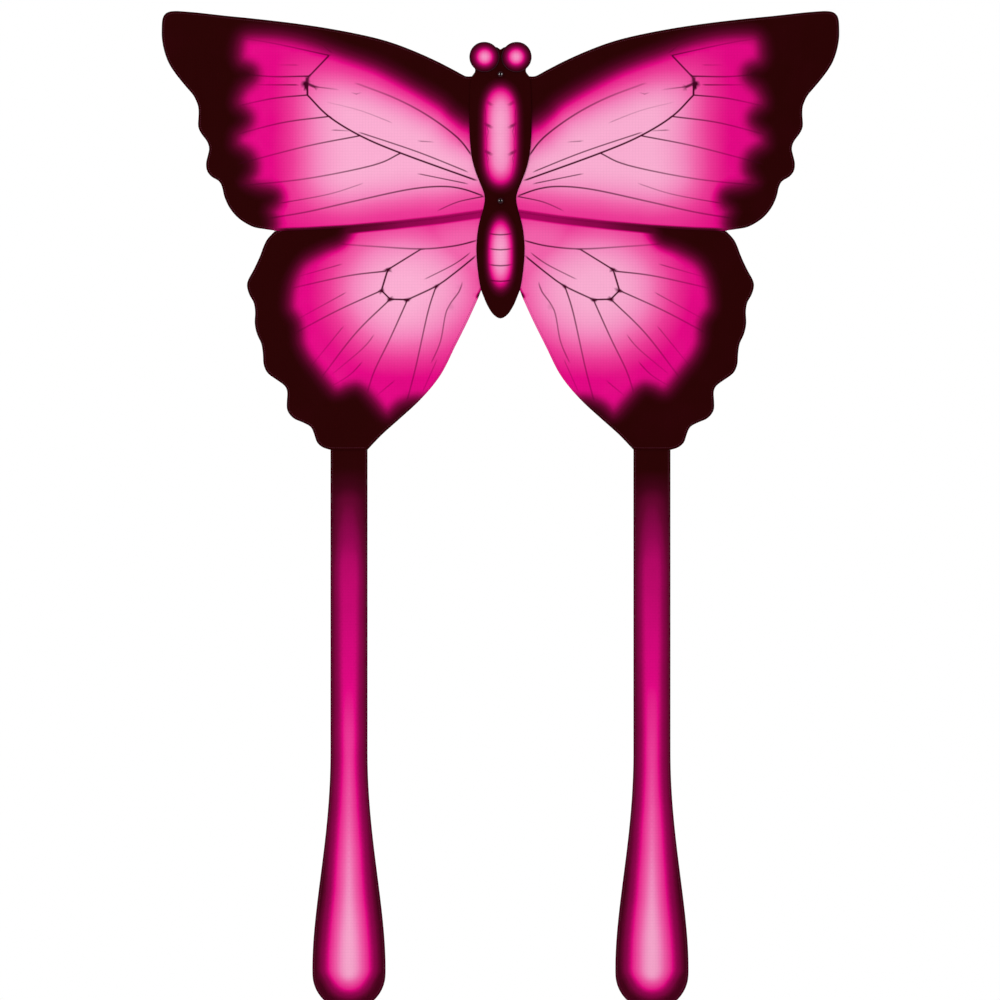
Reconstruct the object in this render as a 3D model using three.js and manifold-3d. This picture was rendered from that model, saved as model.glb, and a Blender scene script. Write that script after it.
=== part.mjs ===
// A single-line butterfly kite: a four-panel cloth sail on a folding fibreglass frame, a padded body with two
// eyes, and two long ribbon tails. Millimetres, +Z up, -Y is the printed front that faces the flyer, +X is the
// viewer's right. The origin is the upper bridle eyelet, in the plane of the sail's front face.
// Each wing folds back about a seam beside the spine, and each tail hangs from a seam and bends in four lengths.
import * as THREE from "three";
import { mergeVertices } from "three/addons/utils/BufferGeometryUtils.js";
import Module from "manifold-3d";

const wasm = await Module();
wasm.setup();

// ---------- driving dimensions ----------
const CLOTH = 0.8; // thickness that stands for a hemmed sail panel
const GAP = 0.35; // between two pieces that touch on the real kite
const HINGE_X = 12; // the fold seam beside the spine
const ROD_Y = 5; // how far the frame's rods lie behind the sail's front face
const SPINE_R = 2.5;
const ROD_R = 2;
const SLEEVE_WALL = 0.8;
const TUBE_R = 3.5; // flexible vinyl joint tube
const CAP_R = 3.4;
const HUB_HALF_WIDTH = 11;
const SOCKET_START = 5.5; // how near the spine's axis the vinyl tubes reach inside a hub

const WING_INNER_X = HINGE_X + 0.3;
const TAPE_HALF_WIDTH = HINGE_X - 0.6;
const SPINE_TOP = 36;
const SPINE_BOTTOM = -486;
const NOSE_HUB_Z = -58;
const CENTRE_HUB_Z = -288;
const LOWER_EYELET_Z = -262;

const EYE = { x: 34, z: 36.5, r: 32.6, depth: 13 };
const BODY_BACK = -0.4;
const BODY_THICK = 6;
const EYELET = { bore: 3.2, barrel: 3.9, flange: 6.2, flangeThick: 0.8 };

const TAIL_X = 313;
const TAIL_HALF_WIDTH = 38.2;
const TAIL_TOP = -777; // the seam that the tail hangs from
const TAIL_BOTTOM = -1934;
const TAIL_BULB = { z: -1858.5, r: 75.5 };
const TAIL_CUTS = [-1066, -1355, -1644];
const SEAM_GAP = 1; // at the tail's seam
const BEND_GAP = 0.8; // between two lengths of one tail

const SPREADER = { from: [24, -279], to: [438, -315] };
const HIND_STRUT = { from: [27, -323], to: [306, -745] };

const COLOURS = {
  print: [0xd9177f, 0.7],
  dark: [0x260204, 0.75],
  cloth: [0x1b1214, 0.85],
  fibreglass: [0x2b2b2e, 0.35],
  vinyl: [0x121214, 0.5],
  nylon: [0x17171a, 0.45],
  metal: [0x3a3a3f, 0.35],
};

// ---------- outlines of the right half, [x, z] ----------
// The forewing's top edge, from the neck out to the wingtip.
const LEADING_EDGE = [
  [62, -4], [68, -5], [76, -2.5], [96, 8.5], [132, 27], [173, 45.5], [214, 61.5], [255, 74],
  [309, 86], [370, 97], [427, 105], [497, 113], [575, 121.5], [629, 127.5], [668, 130.5],
];
// The rounded wingtip and the forewing's scalloped outer edge, down to the notch above the hindwing.
const FOREWING_EDGE = [
  [668, 130.5], [683, 129.5], [693, 124.5], [698.5, 114], [700, 96], [699.5, 72], [694, 45], [684, 20],
  [667, -5], [648, -28], [634, -45], [625, -66], [624, -86], [625, -107], [619, -122], [607, -138],
  [602, -153], [605, -168], [608.5, -184], [606.5, -200], [597, -212], [582, -221], [575, -234],
  [571, -252], [560, -276], [541, -298], [513, -315], [486, -320.5], [468, -323],
];
// Where the forewing laps the hindwing: from the notch back in to the spine.
const WING_SEAM = [[468, -324], [402, -322], [310, -316.5], [217, -308], [120, -297], [WING_INNER_X, -281.5]];
// The hindwing's scalloped outer edge, from the notch down to the tail's seam.
const HINDWING_EDGE = [
  [468, -326], [482, -341], [490, -357], [497, -376], [510, -404], [521, -424], [524, -438], [519, -456],
  [510, -472], [507, -492], [508, -515], [503, -538], [494.5, -556], [491, -578], [489.5, -600], [481, -618],
  [462, -632], [446, -644], [440.5, -657], [441.5, -676], [440.5, -695], [428, -711], [408, -720],
  [392, -729], [385, -744], [379, -761], [367, -771.5], [351, -776.5],
];
// The hindwing's inner edge, from the tail's seam up to the body.
const HINDWING_INNER = [
  [275, -776.5], [245, -745], [207, -711], [172, -679], [141, -645], [118, -612], [94, -563], [69, -513],
  [47, -465], [36, -440], [WING_INNER_X, -418],
];
// The body, from the cleft between the eyes down to the tip of the abdomen.
const BODY_EDGE = [
  [0, 51], [6, 55], [34, 60], [58, 40], [62, 24], [53.5, 13], [53, 4], [59, -4], [62.5, -18], [64, -60],
  [64.5, -99], [63.5, -132], [60, -168], [53, -197], [43, -223], [34.5, -245], [32.5, -260], [36.5, -281],
  [43, -304], [47.5, -328], [49.8, -362], [47.5, -400], [41.5, -440], [34, -462], [26, -480], [14.5, -497],
  [0, -505],
];
const LEADING_ROD = [
  [24, -46.5], [80, -12.5], [128, 14], [177, 36.5], [216, 51], [258, 64], [311, 76.3], [370, 87],
  [428, 95.5], [500, 104], [575, 111.5], [664, 119.5],
];

// ---------- geometry helpers ----------
const flat = (points) => points.map(([x, z]) => new THREE.Vector2(x, z));
const spline = (points) => new THREE.SplineCurve(flat(points));

// Closed outline from several edges: each edge is a smooth curve through its points, and edges meet at corners.
function outline(...edges) {
  const points = edges.flatMap(({ through, steps }) =>
    steps ? spline(through).getPoints(steps) : flat(through),
  );
  return new THREE.Shape(points.filter((p, i) => i === 0 || p.distanceTo(points[i - 1]) > 0.01));
}

// A flat sheet in the XZ plane, from the given front face back.
function sheet(shape, front, thick, holes = []) {
  shape.holes.push(...holes);
  const made = new THREE.ExtrudeGeometry(shape, { depth: thick, bevelEnabled: false, curveSegments: 12 });
  return made.rotateX(Math.PI / 2).translate(0, front + thick, 0);
}

function disc(x, z, r) {
  const shape = new THREE.Shape();
  shape.absarc(x, z, r, 0, 2 * Math.PI, false);
  return shape;
}

function box(x0, x1, z0, z1) {
  return new THREE.Shape(flat([[x0, z0], [x1, z0], [x1, z1], [x0, z1]]));
}

function ring(outer, inner = 0) {
  const shape = disc(0, 0, outer);
  if (inner) shape.holes.push(disc(0, 0, inner));
  return shape;
}

// A rod or tube along a smooth line in the rods' plane.
function alongCurve(points, outer, inner, steps) {
  const path = new THREE.CatmullRomCurve3(points.map(([x, z]) => new THREE.Vector3(x, ROD_Y, z)));
  return new THREE.ExtrudeGeometry(ring(outer, inner), { steps, extrudePath: path, curveSegments: 5 });
}

// A rod or tube between two points of the rods' plane.
function straight([x0, z0], [x1, z1], outer, inner = 0, segments = 6) {
  const way = new THREE.Vector3(x1 - x0, 0, z1 - z0);
  const made = new THREE.ExtrudeGeometry(ring(outer, inner), {
    depth: way.length(), bevelEnabled: false, curveSegments: segments,
  });
  const turn = new THREE.Quaternion().setFromUnitVectors(new THREE.Vector3(0, 0, 1), way.normalize());
  return made.applyQuaternion(turn).translate(x0, ROD_Y, z0);
}

// The point that far past the end of the line from a to b.
function beyond([x0, z0], [x1, z1], distance) {
  const length = Math.hypot(x1 - x0, z1 - z0);
  return [x1 + ((x1 - x0) * distance) / length, z1 + ((z1 - z0) * distance) / length];
}

// A turned piece whose axis runs from one point towards another, in the plane y = axisY.
function turned(profile, [x0, z0], [x1, z1], segments = 16, axisY = ROD_Y) {
  const made = new THREE.LatheGeometry(flat(profile), segments);
  const way = new THREE.Vector3(x1 - x0, 0, z1 - z0).normalize();
  return made.applyQuaternion(new THREE.Quaternion().setFromUnitVectors(new THREE.Vector3(0, 1, 0), way))
    .translate(x0, axisY, z0);
}

// A soft end cap pushed over the last 14 mm of a rod, with a domed end.
function endCap(rodFrom, rodEnd, rodR) {
  const grip = 14;
  const bore = rodR + GAP;
  const profile = [
    [bore, -grip], [CAP_R, -grip], [CAP_R, 2.5], [CAP_R * 0.85, 4.2], [CAP_R * 0.5, 5.2], [0, 5.6],
    [0, GAP], [bore, GAP], [bore, -grip],
  ];
  return turned(profile, rodEnd, beyond(rodFrom, rodEnd, 10));
}

function solidOf(geometry) {
  const plain = geometry.clone();
  plain.deleteAttribute("normal");
  plain.deleteAttribute("uv");
  const merged = mergeVertices(plain, 1e-4);
  return new wasm.Manifold(new wasm.Mesh({
    numProp: 3,
    vertProperties: new Float32Array(merged.attributes.position.array),
    triVerts: new Uint32Array(merged.index.array),
  }));
}

function geometryOf(solid) {
  const mesh = solid.getMesh();
  const made = new THREE.BufferGeometry();
  made.setAttribute("position", new THREE.BufferAttribute(mesh.vertProperties, 3));
  made.setIndex(new THREE.BufferAttribute(mesh.triVerts, 1));
  return made.toNonIndexed();
}

const joined = (...shapes) => shapes.map(solidOf).reduce((a, b) => a.add(b));
const cut = (solid, ...shapes) => shapes.map(solidOf).reduce((a, b) => a.subtract(b), solid);

function piece(name, geometry, look) {
  const [color, roughness] = COLOURS[look];
  const metalness = look === "metal" ? 0.8 : 0;
  const mesh = new THREE.Mesh(geometry, new THREE.MeshStandardMaterial({ color, roughness, metalness }));
  mesh.geometry.computeVertexNormals();
  mesh.name = name;
  return mesh;
}

const upright = (r, z0, z1, segments = 20) =>
  new THREE.CylinderGeometry(r, r, z1 - z0, segments).rotateX(Math.PI / 2).translate(0, ROD_Y, (z0 + z1) / 2);
const block = (x0, x1, y0, y1, z0, z1) =>
  new THREE.BoxGeometry(x1 - x0, y1 - y0, z1 - z0).translate((x0 + x1) / 2, (y0 + y1) / 2, (z0 + z1) / 2);

// ---------- the spine and the body ----------
// A moulded cross fitting: a barrel on the spine, an arm round each vinyl tube and a flat pad on its back.
function hub(centre, halfLength, padHalf, arms) {
  const barrel = upright(5.4, centre - halfLength, centre + halfLength);
  const sides = arms.flatMap(([from, to]) => [1, -1].map((s) =>
    straight([0, from[1]], [s * to[0], to[1]], 5, 0, 8)));
  const pad = block(-6, 6, ROD_Y, 11, centre - padHalf, centre + padHalf);
  const whole = joined(barrel, ...sides, pad)
    .intersect(solidOf(block(-HUB_HALF_WIDTH, HUB_HALF_WIDTH, CLOTH + GAP, 11, centre - 60, centre + 60)));
  const sockets = arms.flatMap(([from, to]) => [1, -1].map((s) => {
    const slope = (to[1] - from[1]) / to[0];
    const start = [s * (SOCKET_START - GAP), from[1] + slope * (SOCKET_START - GAP)];
    return straight(start, [s * to[0] * 2, from[1] + slope * to[0] * 2], TUBE_R + GAP, 0, 8);
  }));
  return geometryOf(cut(whole, upright(SPINE_R + GAP, centre - 60, centre + 60, 16), ...sockets));
}

// A hub's arm on the line of a rod that starts at `from` and runs towards `to`, carried back to the spine.
function armOf(from, to) {
  const slope = (to[1] - from[1]) / (to[0] - from[0]);
  const at = (x) => [x, from[1] + (x - from[0]) * slope];
  return [at(0), at(HUB_HALF_WIDTH + 1)];
}

// The cloth pocket that holds the spine: a tube with a sewn flange on each side.
function spineSleeve(z0, z1) {
  const inner = SPINE_R + GAP;
  const outer = inner + SLEEVE_WALL;
  const tube = upright(outer, z0, z1, 16);
  const flange = block(-9.5, 9.5, CLOTH + GAP, CLOTH + GAP + SLEEVE_WALL, z0, z1);
  return geometryOf(cut(joined(tube, flange), upright(inner, z0 - 1, z1 + 1, 16)));
}

function spineCap(z, up) {
  return endCap([0, z - up], [0, z], SPINE_R);
}

function eyelet(z) {
  const front = BODY_BACK - BODY_THICK - GAP;
  const back = -GAP;
  const profile = [
    [EYELET.bore, back], [EYELET.barrel, back], [EYELET.barrel, front], [EYELET.flange, front],
    [EYELET.flange - 0.6, front - EYELET.flangeThick], [EYELET.bore + 0.4, front - EYELET.flangeThick],
    [EYELET.bore, front], [EYELET.bore, back],
  ];
  return new THREE.LatheGeometry(flat(profile).reverse(), 20).translate(0, 0, z);
}

const hole = (x, z, r) => new THREE.CylinderGeometry(r, r, 40, 40).translate(x, 0, z);

function bodyPanel() {
  const right = spline(BODY_EDGE).getPoints(54);
  const left = right.slice(1, -1).reverse().map((p) => new THREE.Vector2(-p.x, p.y));
  const bevel = { bevelThickness: 2, bevelSize: 7, bevelOffset: -7, bevelSegments: 2 };
  const pad = new THREE.ExtrudeGeometry(new THREE.Shape([...right, ...left]), {
    depth: BODY_THICK - 4, bevelEnabled: true, ...bevel,
  }).rotateX(Math.PI / 2).translate(0, BODY_BACK - 2, 0);
  const holes = [-EYE.x, EYE.x].map((x) => hole(x, EYE.z, EYE.r + GAP));
  const bores = [0, LOWER_EYELET_Z].map((z) => hole(0, z, EYELET.barrel + GAP));
  return geometryOf(cut(solidOf(pad), ...holes, ...bores));
}

// A stuffed dome, flat at the back.
function eye(side) {
  const { x, z, r, depth } = EYE;
  const rim = 3;
  const profile = [[0, 0], [r, 0], [r, rim]];
  for (let i = 1; i <= 6; i++) {
    const a = (i / 6) * (Math.PI / 2);
    profile.push([i === 6 ? 0 : r * Math.cos(a), rim + (depth - rim) * Math.sin(a)]);
  }
  return new THREE.LatheGeometry(flat(profile), 28).rotateX(Math.PI).translate(side * x, BODY_BACK, z);
}

function headBacking() {
  const board = joined(
    sheet(disc(EYE.x, EYE.z, EYE.r - 2.5), 0, CLOTH),
    sheet(disc(-EYE.x, EYE.z, EYE.r - 2.5), 0, CLOTH),
    sheet(box(-50, 50, 6, 40), 0, CLOTH),
  );
  return geometryOf(board);
}

function spineTape() {
  const strip = sheet(box(-TAPE_HALF_WIDTH, TAPE_HALF_WIDTH, -470, 5.5), 0, CLOTH);
  const bores = [0, LOWER_EYELET_Z].map((z) => hole(0, z, EYELET.barrel));
  return geometryOf(cut(solidOf(strip), ...bores));
}

function spine() {
  const group = new THREE.Group();
  const noseArms = [armOf(LEADING_ROD[0], LEADING_ROD[1])];
  const centreArms = [armOf(SPREADER.from, SPREADER.to), armOf(HIND_STRUT.from, HIND_STRUT.to)];
  group.add(
    piece("spine_rod", upright(SPINE_R, SPINE_BOTTOM, SPINE_TOP, 16), "fibreglass"),
    piece("spine_cap_top", spineCap(SPINE_TOP, 1), "vinyl"),
    piece("spine_cap_bottom", spineCap(SPINE_BOTTOM, -1), "vinyl"),
    piece("nose_hub", hub(NOSE_HUB_Z, 18, 9, noseArms), "nylon"),
    piece("center_hub", hub(CENTRE_HUB_Z, 26, 15, centreArms), "nylon"),
    piece("spine_tape", spineTape(), "cloth"),
    piece("spine_sleeve_head", spineSleeve(8, 20), "cloth"),
    piece("spine_sleeve_upper", spineSleeve(-250, -80), "cloth"),
    piece("spine_sleeve_lower", spineSleeve(-440, -318), "cloth"),
    piece("spine_closure_tab", sheet(box(-8, 8, -469, -444), CLOTH + GAP, 0.9), "cloth"),
    piece("body_panel", bodyPanel(), "dark"),
    piece("head_backing", headBacking(), "cloth"),
    piece("left_eye", eye(-1), "print"),
    piece("right_eye", eye(1), "print"),
    piece("upper_bridle_eyelet", eyelet(0), "metal"),
    piece("lower_bridle_eyelet", eyelet(LOWER_EYELET_Z), "metal"),
  );
  return group;
}

// ---------- a wing, drawn as the right one ----------
function forewing() {
  return sheet(outline(
    { through: [[WING_INNER_X, -281.5], [WING_INNER_X, -12]] },
    { through: LEADING_EDGE, steps: 40 },
    { through: FOREWING_EDGE, steps: 84 },
    { through: WING_SEAM, steps: 10 },
  ), 0, CLOTH);
}

function hindwing() {
  const seam = WING_SEAM.map(([x, z]) => [x, z - GAP - 1.2]).reverse();
  return sheet(outline(
    { through: seam, steps: 10 },
    { through: HINDWING_EDGE, steps: 84 },
    { through: HINDWING_INNER, steps: 30 },
  ), 0, CLOTH);
}

// The flexible tube from a hub's socket over the first part of a rod.
function jointTube(from, to) {
  const slope = (to[1] - from[1]) / (to[0] - from[0]);
  const start = [SOCKET_START, from[1] + (SOCKET_START - from[0]) * slope];
  return straight(start, beyond(start, from, 14), TUBE_R, ROD_R + GAP, 6);
}

// The part of a line that lies between two values of x.
function between(points, x0, x1) {
  const curve = spline(points);
  const at = (x) => {
    let low = 0;
    let high = 1;
    for (let i = 0; i < 40; i++) {
      const middle = (low + high) / 2;
      if (curve.getPoint(middle).x < x) low = middle;
      else high = middle;
    }
    return low;
  };
  const [a, b] = [at(x0), at(x1)];
  return Array.from({ length: 13 }, (_, i) => {
    const p = curve.getPoint(a + ((b - a) * i) / 12);
    return [p.x, p.y];
  });
}

function tipPocket() {
  const [x, z] = HIND_STRUT.to;
  const outer = box(x - 27, x + 30, z - 18, z + 12);
  const shell = joined(
    sheet(outer, CLOTH + GAP, SLEEVE_WALL),
    straight(beyond(HIND_STRUT.from, [x, z], -16), beyond(HIND_STRUT.from, [x, z], 9), CAP_R + GAP + SLEEVE_WALL),
  ).intersect(solidOf(block(0, 400, CLOTH + GAP, 12, z - 18, z + 12)));
  const inside = straight(beyond(HIND_STRUT.from, [x, z], -40), beyond(HIND_STRUT.from, [x, z], 6.2), CAP_R + GAP);
  return geometryOf(cut(shell, inside));
}

function rodKeeper() {
  const [[x0, z0], [x1, z1]] = [HIND_STRUT.from, HIND_STRUT.to];
  const at = (t) => [x0 + (x1 - x0) * t, z0 + (z1 - z0) * t];
  const inner = ROD_R + GAP;
  const tube = straight(at(0.5), at(0.56), inner + SLEEVE_WALL);
  const [x, z] = at(0.53);
  const patch = sheet(box(x - 16, x + 16, z - 9, z + 9), CLOTH + GAP, SLEEVE_WALL);
  return geometryOf(cut(joined(tube, patch), straight(at(0.45), at(0.6), inner)));
}

function wing(side, name) {
  const group = new THREE.Group();
  const lead = LEADING_ROD;
  const [leadEnd, leadNear] = [lead.at(-1), lead.at(-2)];
  const called = (part) => `${name}_${part}`;
  const [inner, outer] = [ROD_R + GAP, ROD_R + GAP + SLEEVE_WALL];
  const spreaderAt = (t) => SPREADER.from.map((a, i) => a + (SPREADER.to[i] - a) * t);
  group.add(
    piece(called("forewing_panel"), forewing(), "print"),
    piece(called("hindwing_panel"), hindwing(), "print"),
    piece(called("leading_rod"), alongCurve(lead, ROD_R, 0, 24), "fibreglass"),
    piece(called("leading_sleeve"), alongCurve(between(lead, 44, 640), outer, inner, 22), "cloth"),
    piece(called("leading_tip_cap"), endCap(leadNear, leadEnd, ROD_R), "vinyl"),
    piece(called("leading_joint_tube"), jointTube(lead[0], lead[1]), "vinyl"),
    piece(called("wingtip_patch"), sheet(outline({ through: [[600, 98], [655, 104], [668, 60], [640, 30]] }),
      CLOTH + GAP, 0.6), "cloth"),
    piece(called("spreader_rod"), straight(SPREADER.from, SPREADER.to, ROD_R), "fibreglass"),
    piece(called("spreader_sleeve"), straight(spreaderAt(0.05), spreaderAt(0.95), outer, inner), "cloth"),
    piece(called("spreader_tip_cap"), endCap(SPREADER.from, SPREADER.to, ROD_R), "vinyl"),
    piece(called("spreader_joint_tube"), jointTube(SPREADER.from, SPREADER.to), "vinyl"),
    piece(called("hind_rod"), straight(HIND_STRUT.from, HIND_STRUT.to, ROD_R), "fibreglass"),
    piece(called("hind_tip_cap"), endCap(HIND_STRUT.from, HIND_STRUT.to, ROD_R), "vinyl"),
    piece(called("hind_joint_tube"), jointTube(HIND_STRUT.from, HIND_STRUT.to), "vinyl"),
    piece(called("hind_tip_pocket"), tipPocket(), "cloth"),
    piece(called("hind_rod_keeper"), rodKeeper(), "cloth"),
    piece(called("tail_seam_tape"), sheet(box(278, 349, -775.5, -765), CLOTH + GAP, 0.8), "cloth"),
  );
  group.scale.x = side;
  return group;
}

// ---------- a tail ----------
// Half the ribbon's width at a height: straight at first, then widening to a round end.
function tailHalfWidth(z) {
  const { z: centre, r } = TAIL_BULB;
  if (z < centre) return Math.sqrt(Math.max(r * r - (centre - z) ** 2, 0));
  const flareTop = -1400;
  const t = THREE.MathUtils.clamp((flareTop - z) / (flareTop - centre), 0, 1);
  const swell = t * t * (2.1 - 1.1 * t * t);
  return TAIL_HALF_WIDTH + (r - TAIL_HALF_WIDTH) * swell;
}

function tailLength(top, bottom) {
  const steps = bottom < TAIL_BULB.z ? 26 : 8;
  const right = Array.from({ length: steps + 1 }, (_, i) => {
    const share = bottom < TAIL_BULB.z ? Math.sin((i / steps) * (Math.PI / 2)) : i / steps;
    const z = top + (bottom - top) * share;
    return [tailHalfWidth(z), z];
  });
  const left = right.map(([w, z]) => [-w, z]).reverse();
  const all = [...right, ...left].map(([w, z]) => [TAIL_X + w, z]);
  return sheet(outline({ through: all }), 0, CLOTH);
}

function tail(side, name) {
  const group = new THREE.Group();
  const tops = [TAIL_TOP - SEAM_GAP / 2, ...TAIL_CUTS.map((z) => z - BEND_GAP / 2)];
  const bottoms = [...TAIL_CUTS.map((z) => z + BEND_GAP / 2), TAIL_BOTTOM];
  ["upper", "middle", "lower", "end"].forEach((part, i) => {
    group.add(piece(`${name}_tail_${part}`, tailLength(tops[i], bottoms[i]), "print"));
  });
  group.scale.x = side;
  return group;
}

const kite = new THREE.Group();
kite.name = "butterfly_kite";
kite.add(spine(), wing(-1, "left"), wing(1, "right"), tail(-1, "left"), tail(1, "right"));

export default kite;
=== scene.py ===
"""The looks of a butterfly kite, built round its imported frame.

Lengths in this file are in millimetres unless a name says otherwise, and MM turns them into Blender's metres.
+Z is up, the printed front faces -Y, and each wing and tail is described once, as the right one.
"""
import math

import bpy
import numpy as np
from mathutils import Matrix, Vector, noise
from mathutils.geometry import delaunay_2d_cdt


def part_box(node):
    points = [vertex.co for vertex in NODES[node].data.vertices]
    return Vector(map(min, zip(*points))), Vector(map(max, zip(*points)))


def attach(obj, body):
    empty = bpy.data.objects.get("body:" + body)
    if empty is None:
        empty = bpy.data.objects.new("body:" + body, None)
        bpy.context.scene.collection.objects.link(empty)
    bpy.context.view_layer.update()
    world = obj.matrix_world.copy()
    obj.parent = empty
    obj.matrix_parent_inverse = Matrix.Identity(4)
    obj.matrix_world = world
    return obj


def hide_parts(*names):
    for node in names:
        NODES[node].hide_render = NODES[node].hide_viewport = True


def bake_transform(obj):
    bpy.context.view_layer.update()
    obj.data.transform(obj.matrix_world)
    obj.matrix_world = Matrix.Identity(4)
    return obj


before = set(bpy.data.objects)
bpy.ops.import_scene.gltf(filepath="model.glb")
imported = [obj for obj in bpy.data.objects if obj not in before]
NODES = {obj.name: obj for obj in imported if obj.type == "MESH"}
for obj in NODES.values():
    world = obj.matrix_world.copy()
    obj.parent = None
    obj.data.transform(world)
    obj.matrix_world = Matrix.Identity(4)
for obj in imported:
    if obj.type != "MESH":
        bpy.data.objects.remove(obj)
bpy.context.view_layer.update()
MM = 0.001
SIDES = {"left": -1, "right": 1}

# ---------- sizes that the frame doesn't give ----------
CLOTH = 0.3
HEM_WIDTH = 6
HEM_THICK = 0.8
GRID = 9  # spacing of a sail's mesh between its veins
BELLY = 9  # how far the wind has stretched a sail back between its rods
ROD_Y = 5
BODY_CROWN = 9
EYE_CROWN = 12
EYE_X, EYE_Z, EYE_R = 33.2, 35.4, 30.0
EYELETS_Z = (0, -262)
STUFFING_FRAMES = 40

# The body, from the cleft between the eyes down to the tip of the abdomen.
BODY_EDGE = [
    (0, 51), (6, 55), (34, 60), (58, 40), (62, 24), (53.5, 13), (53, 4), (59, -4), (62.5, -18),
    (64, -60), (64.5, -99), (63.5, -132), (60, -168), (53, -197), (43, -223), (34.5, -245),
    (32.5, -260), (36.5, -281), (43, -304), (47.5, -328), (49.8, -362), (47.5, -400), (41.5, -440),
    (34, -462), (26, -480), (14.5, -497), (0, -505),
]

# ---------- the print ----------
# Each vein is its points, its width, and how strong it is where it starts and where it ends.
FOREWING_VEINS = [
    ([(544, 76), (466, 63), (355, 39)], 2.6, 0.1, 0.75),
    ([(372, 63), (346, 42)], 2.2, 0.0, 0.7),
    ([(355, 38), (397, -6)], 3.2, 0.9, 0.9),
    ([(399, -19), (399, -43)], 3.8, 1.0, 1.0),
    ([(390, -18), (405, -20)], 10.0, 1.0, 1.0),
    ([(412, -14), (384, -26)], 5.0, 0.9, 0.9),
    ([(399, -8), (402, -30)], 7.0, 0.9, 1.0),
    ([(399, -43), (355, -87), (290, -127), (206, -163), (46, -221)], 3.4, 1.0, 1.0),
    ([(295, -119), (170, -161), (65, -203)], 2.6, 0.8, 0.85),
    ([(397, -4), (470, -5), (530, 0)], 2.8, 0.95, 0.3),
    ([(462, 19), (415, 19)], 2.2, 0.1, 0.5),
    ([(415, -22), (505, -22)], 2.6, 0.9, 0.2),
    ([(383, -26), (332, -32)], 2.6, 0.7, 0.2),
    ([(399, -43), (470, -50), (545, -66)], 2.8, 0.95, 0.2),
    ([(353, -87), (450, -100), (548, -125)], 2.8, 0.95, 0.25),
    ([(290, -127), (402, -149), (545, -186)], 2.8, 0.95, 0.25),
    ([(206, -163), (263, -188), (402, -216), (545, -231)], 2.8, 0.95, 0.3),
    ([(282, -225), (355, -248), (457, -267)], 2.4, 0.4, 0.6),
    ([(32, -253), (79, -237), (125, -232), (194, -239), (309, -264), (402, -285), (480, -298)],
     3.0, 1.0, 0.5),
    ([(37, -253), (88, -264), (132, -283)], 2.4, 0.9, 0.5),
    ([(303, -17), (217, -50), (148, -87), (88, -132), (58, -170)], 3.2, 0.35, 1.0),
    ([(361, -57), (290, -75), (222, -101)], 2.2, 0.15, 0.4),
    ([(309, -37), (298, -41), (286, -37)], 2.2, 0.5, 0.5),
    ([(351, -115), (314, -117)], 2.4, 0.8, 0.3),
    ([(173, -138), (136, -140)], 2.4, 0.7, 0.3),
    ([(173, -205), (65, -227)], 2.4, 0.75, 0.85),
]
HINDWING_VEINS = [
    ([(46, -343), (96, -355), (165, -361), (260, -356), (333, -351)], 3.0, 1.0, 0.35),
    ([(165, -362), (233, -404)], 3.0, 0.9, 1.0),
    ([(233, -404), (246, -447)], 3.4, 1.0, 1.0),
    ([(246, -447), (228, -465)], 3.2, 1.0, 1.0),
    ([(228, -465), (192, -466)], 3.2, 1.0, 1.0),
    ([(192, -466), (133, -438), (96, -412), (49, -374)], 3.2, 0.9, 1.0),
    ([(231, -404), (235, -405)], 7.0, 1.0, 1.0),
    ([(245, -447), (247, -448)], 6.5, 1.0, 1.0),
    ([(227, -465), (230, -466)], 7.0, 1.0, 1.0),
    ([(190, -466), (194, -467)], 6.5, 1.0, 1.0),
    ([(132, -438), (134, -440)], 6.0, 1.0, 1.0),
    ([(237, -407), (317, -417), (431, -442)], 2.8, 0.95, 0.3),
    ([(246, -447), (336, -488), (425, -535)], 2.8, 0.95, 0.3),
    ([(228, -465), (299, -535), (371, -628)], 2.8, 0.95, 0.3),
    ([(192, -466), (228, -546), (260, -612), (276, -660)], 2.8, 0.95, 0.4),
    ([(133, -438), (150, -492), (175, -605), (194, -678)], 2.8, 0.95, 0.4),
    ([(78, -428), (86, -450), (111, -488), (124, -552), (144, -599)], 2.6, 0.8, 0.5),
    ([(130, -587), (162, -659)], 2.2, 0.4, 0.3),
    ([(326, -392), (421, -419)], 2.4, 0.6, 0.15),
    ([(317, -450), (421, -507)], 2.4, 0.6, 0.15),
    ([(323, -519), (396, -609)], 2.4, 0.5, 0.15),
    ([(260, -537), (285, -567), (349, -621)], 2.4, 0.6, 0.2),
    ([(284, -593), (311, -621), (349, -645)], 2.4, 0.6, 0.2),
    ([(217, -632), (257, -665)], 2.4, 0.5, 0.2),
    ([(61, -368), (96, -393), (159, -425)], 2.4, 0.85, 0.6),
]
# The limit between the dark border and the pink field. It runs on past the sail where there is no border.
FOREWING_FIELD = [
    (-60, -20), (40, -84), (84, -70), (112, -44), (168, -10), (241, 29), (323, 60), (410, 89),
    (476, 99), (530, 97), (553, 74), (558, 33), (545, 10), (524, 0), (544, -17), (560, -50), (555, -74),
    (535, -93), (556, -114), (562, -136), (558, -155), (530, -176), (526, -196), (540, -222),
    (525, -240), (497, -250), (474, -256), (487, -271), (492, -287), (484, -306), (470, -420),
    (-60, -420),
]
HINDWING_FIELD = [
    (-60, -200), (300, -250), (321, -312), (336, -337), (369, -349), (414, -374), (437, -405),
    (449, -446), (450, -488), (432, -519), (428, -560), (411, -595), (393, -618), (368, -650),
    (348, -670), (325, -669), (300, -660), (276, -682), (249, -712), (228, -718), (208, -701),
    (182, -688), (90, -668), (-60, -520),
]
# The lower limit of the dark band under the leading edge.
LEADING_BAND = [(-40, -170), (63, -97), (100, -54), (166, -12), (241, 29), (323, 60), (410, 89), (700, 170)]
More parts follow.
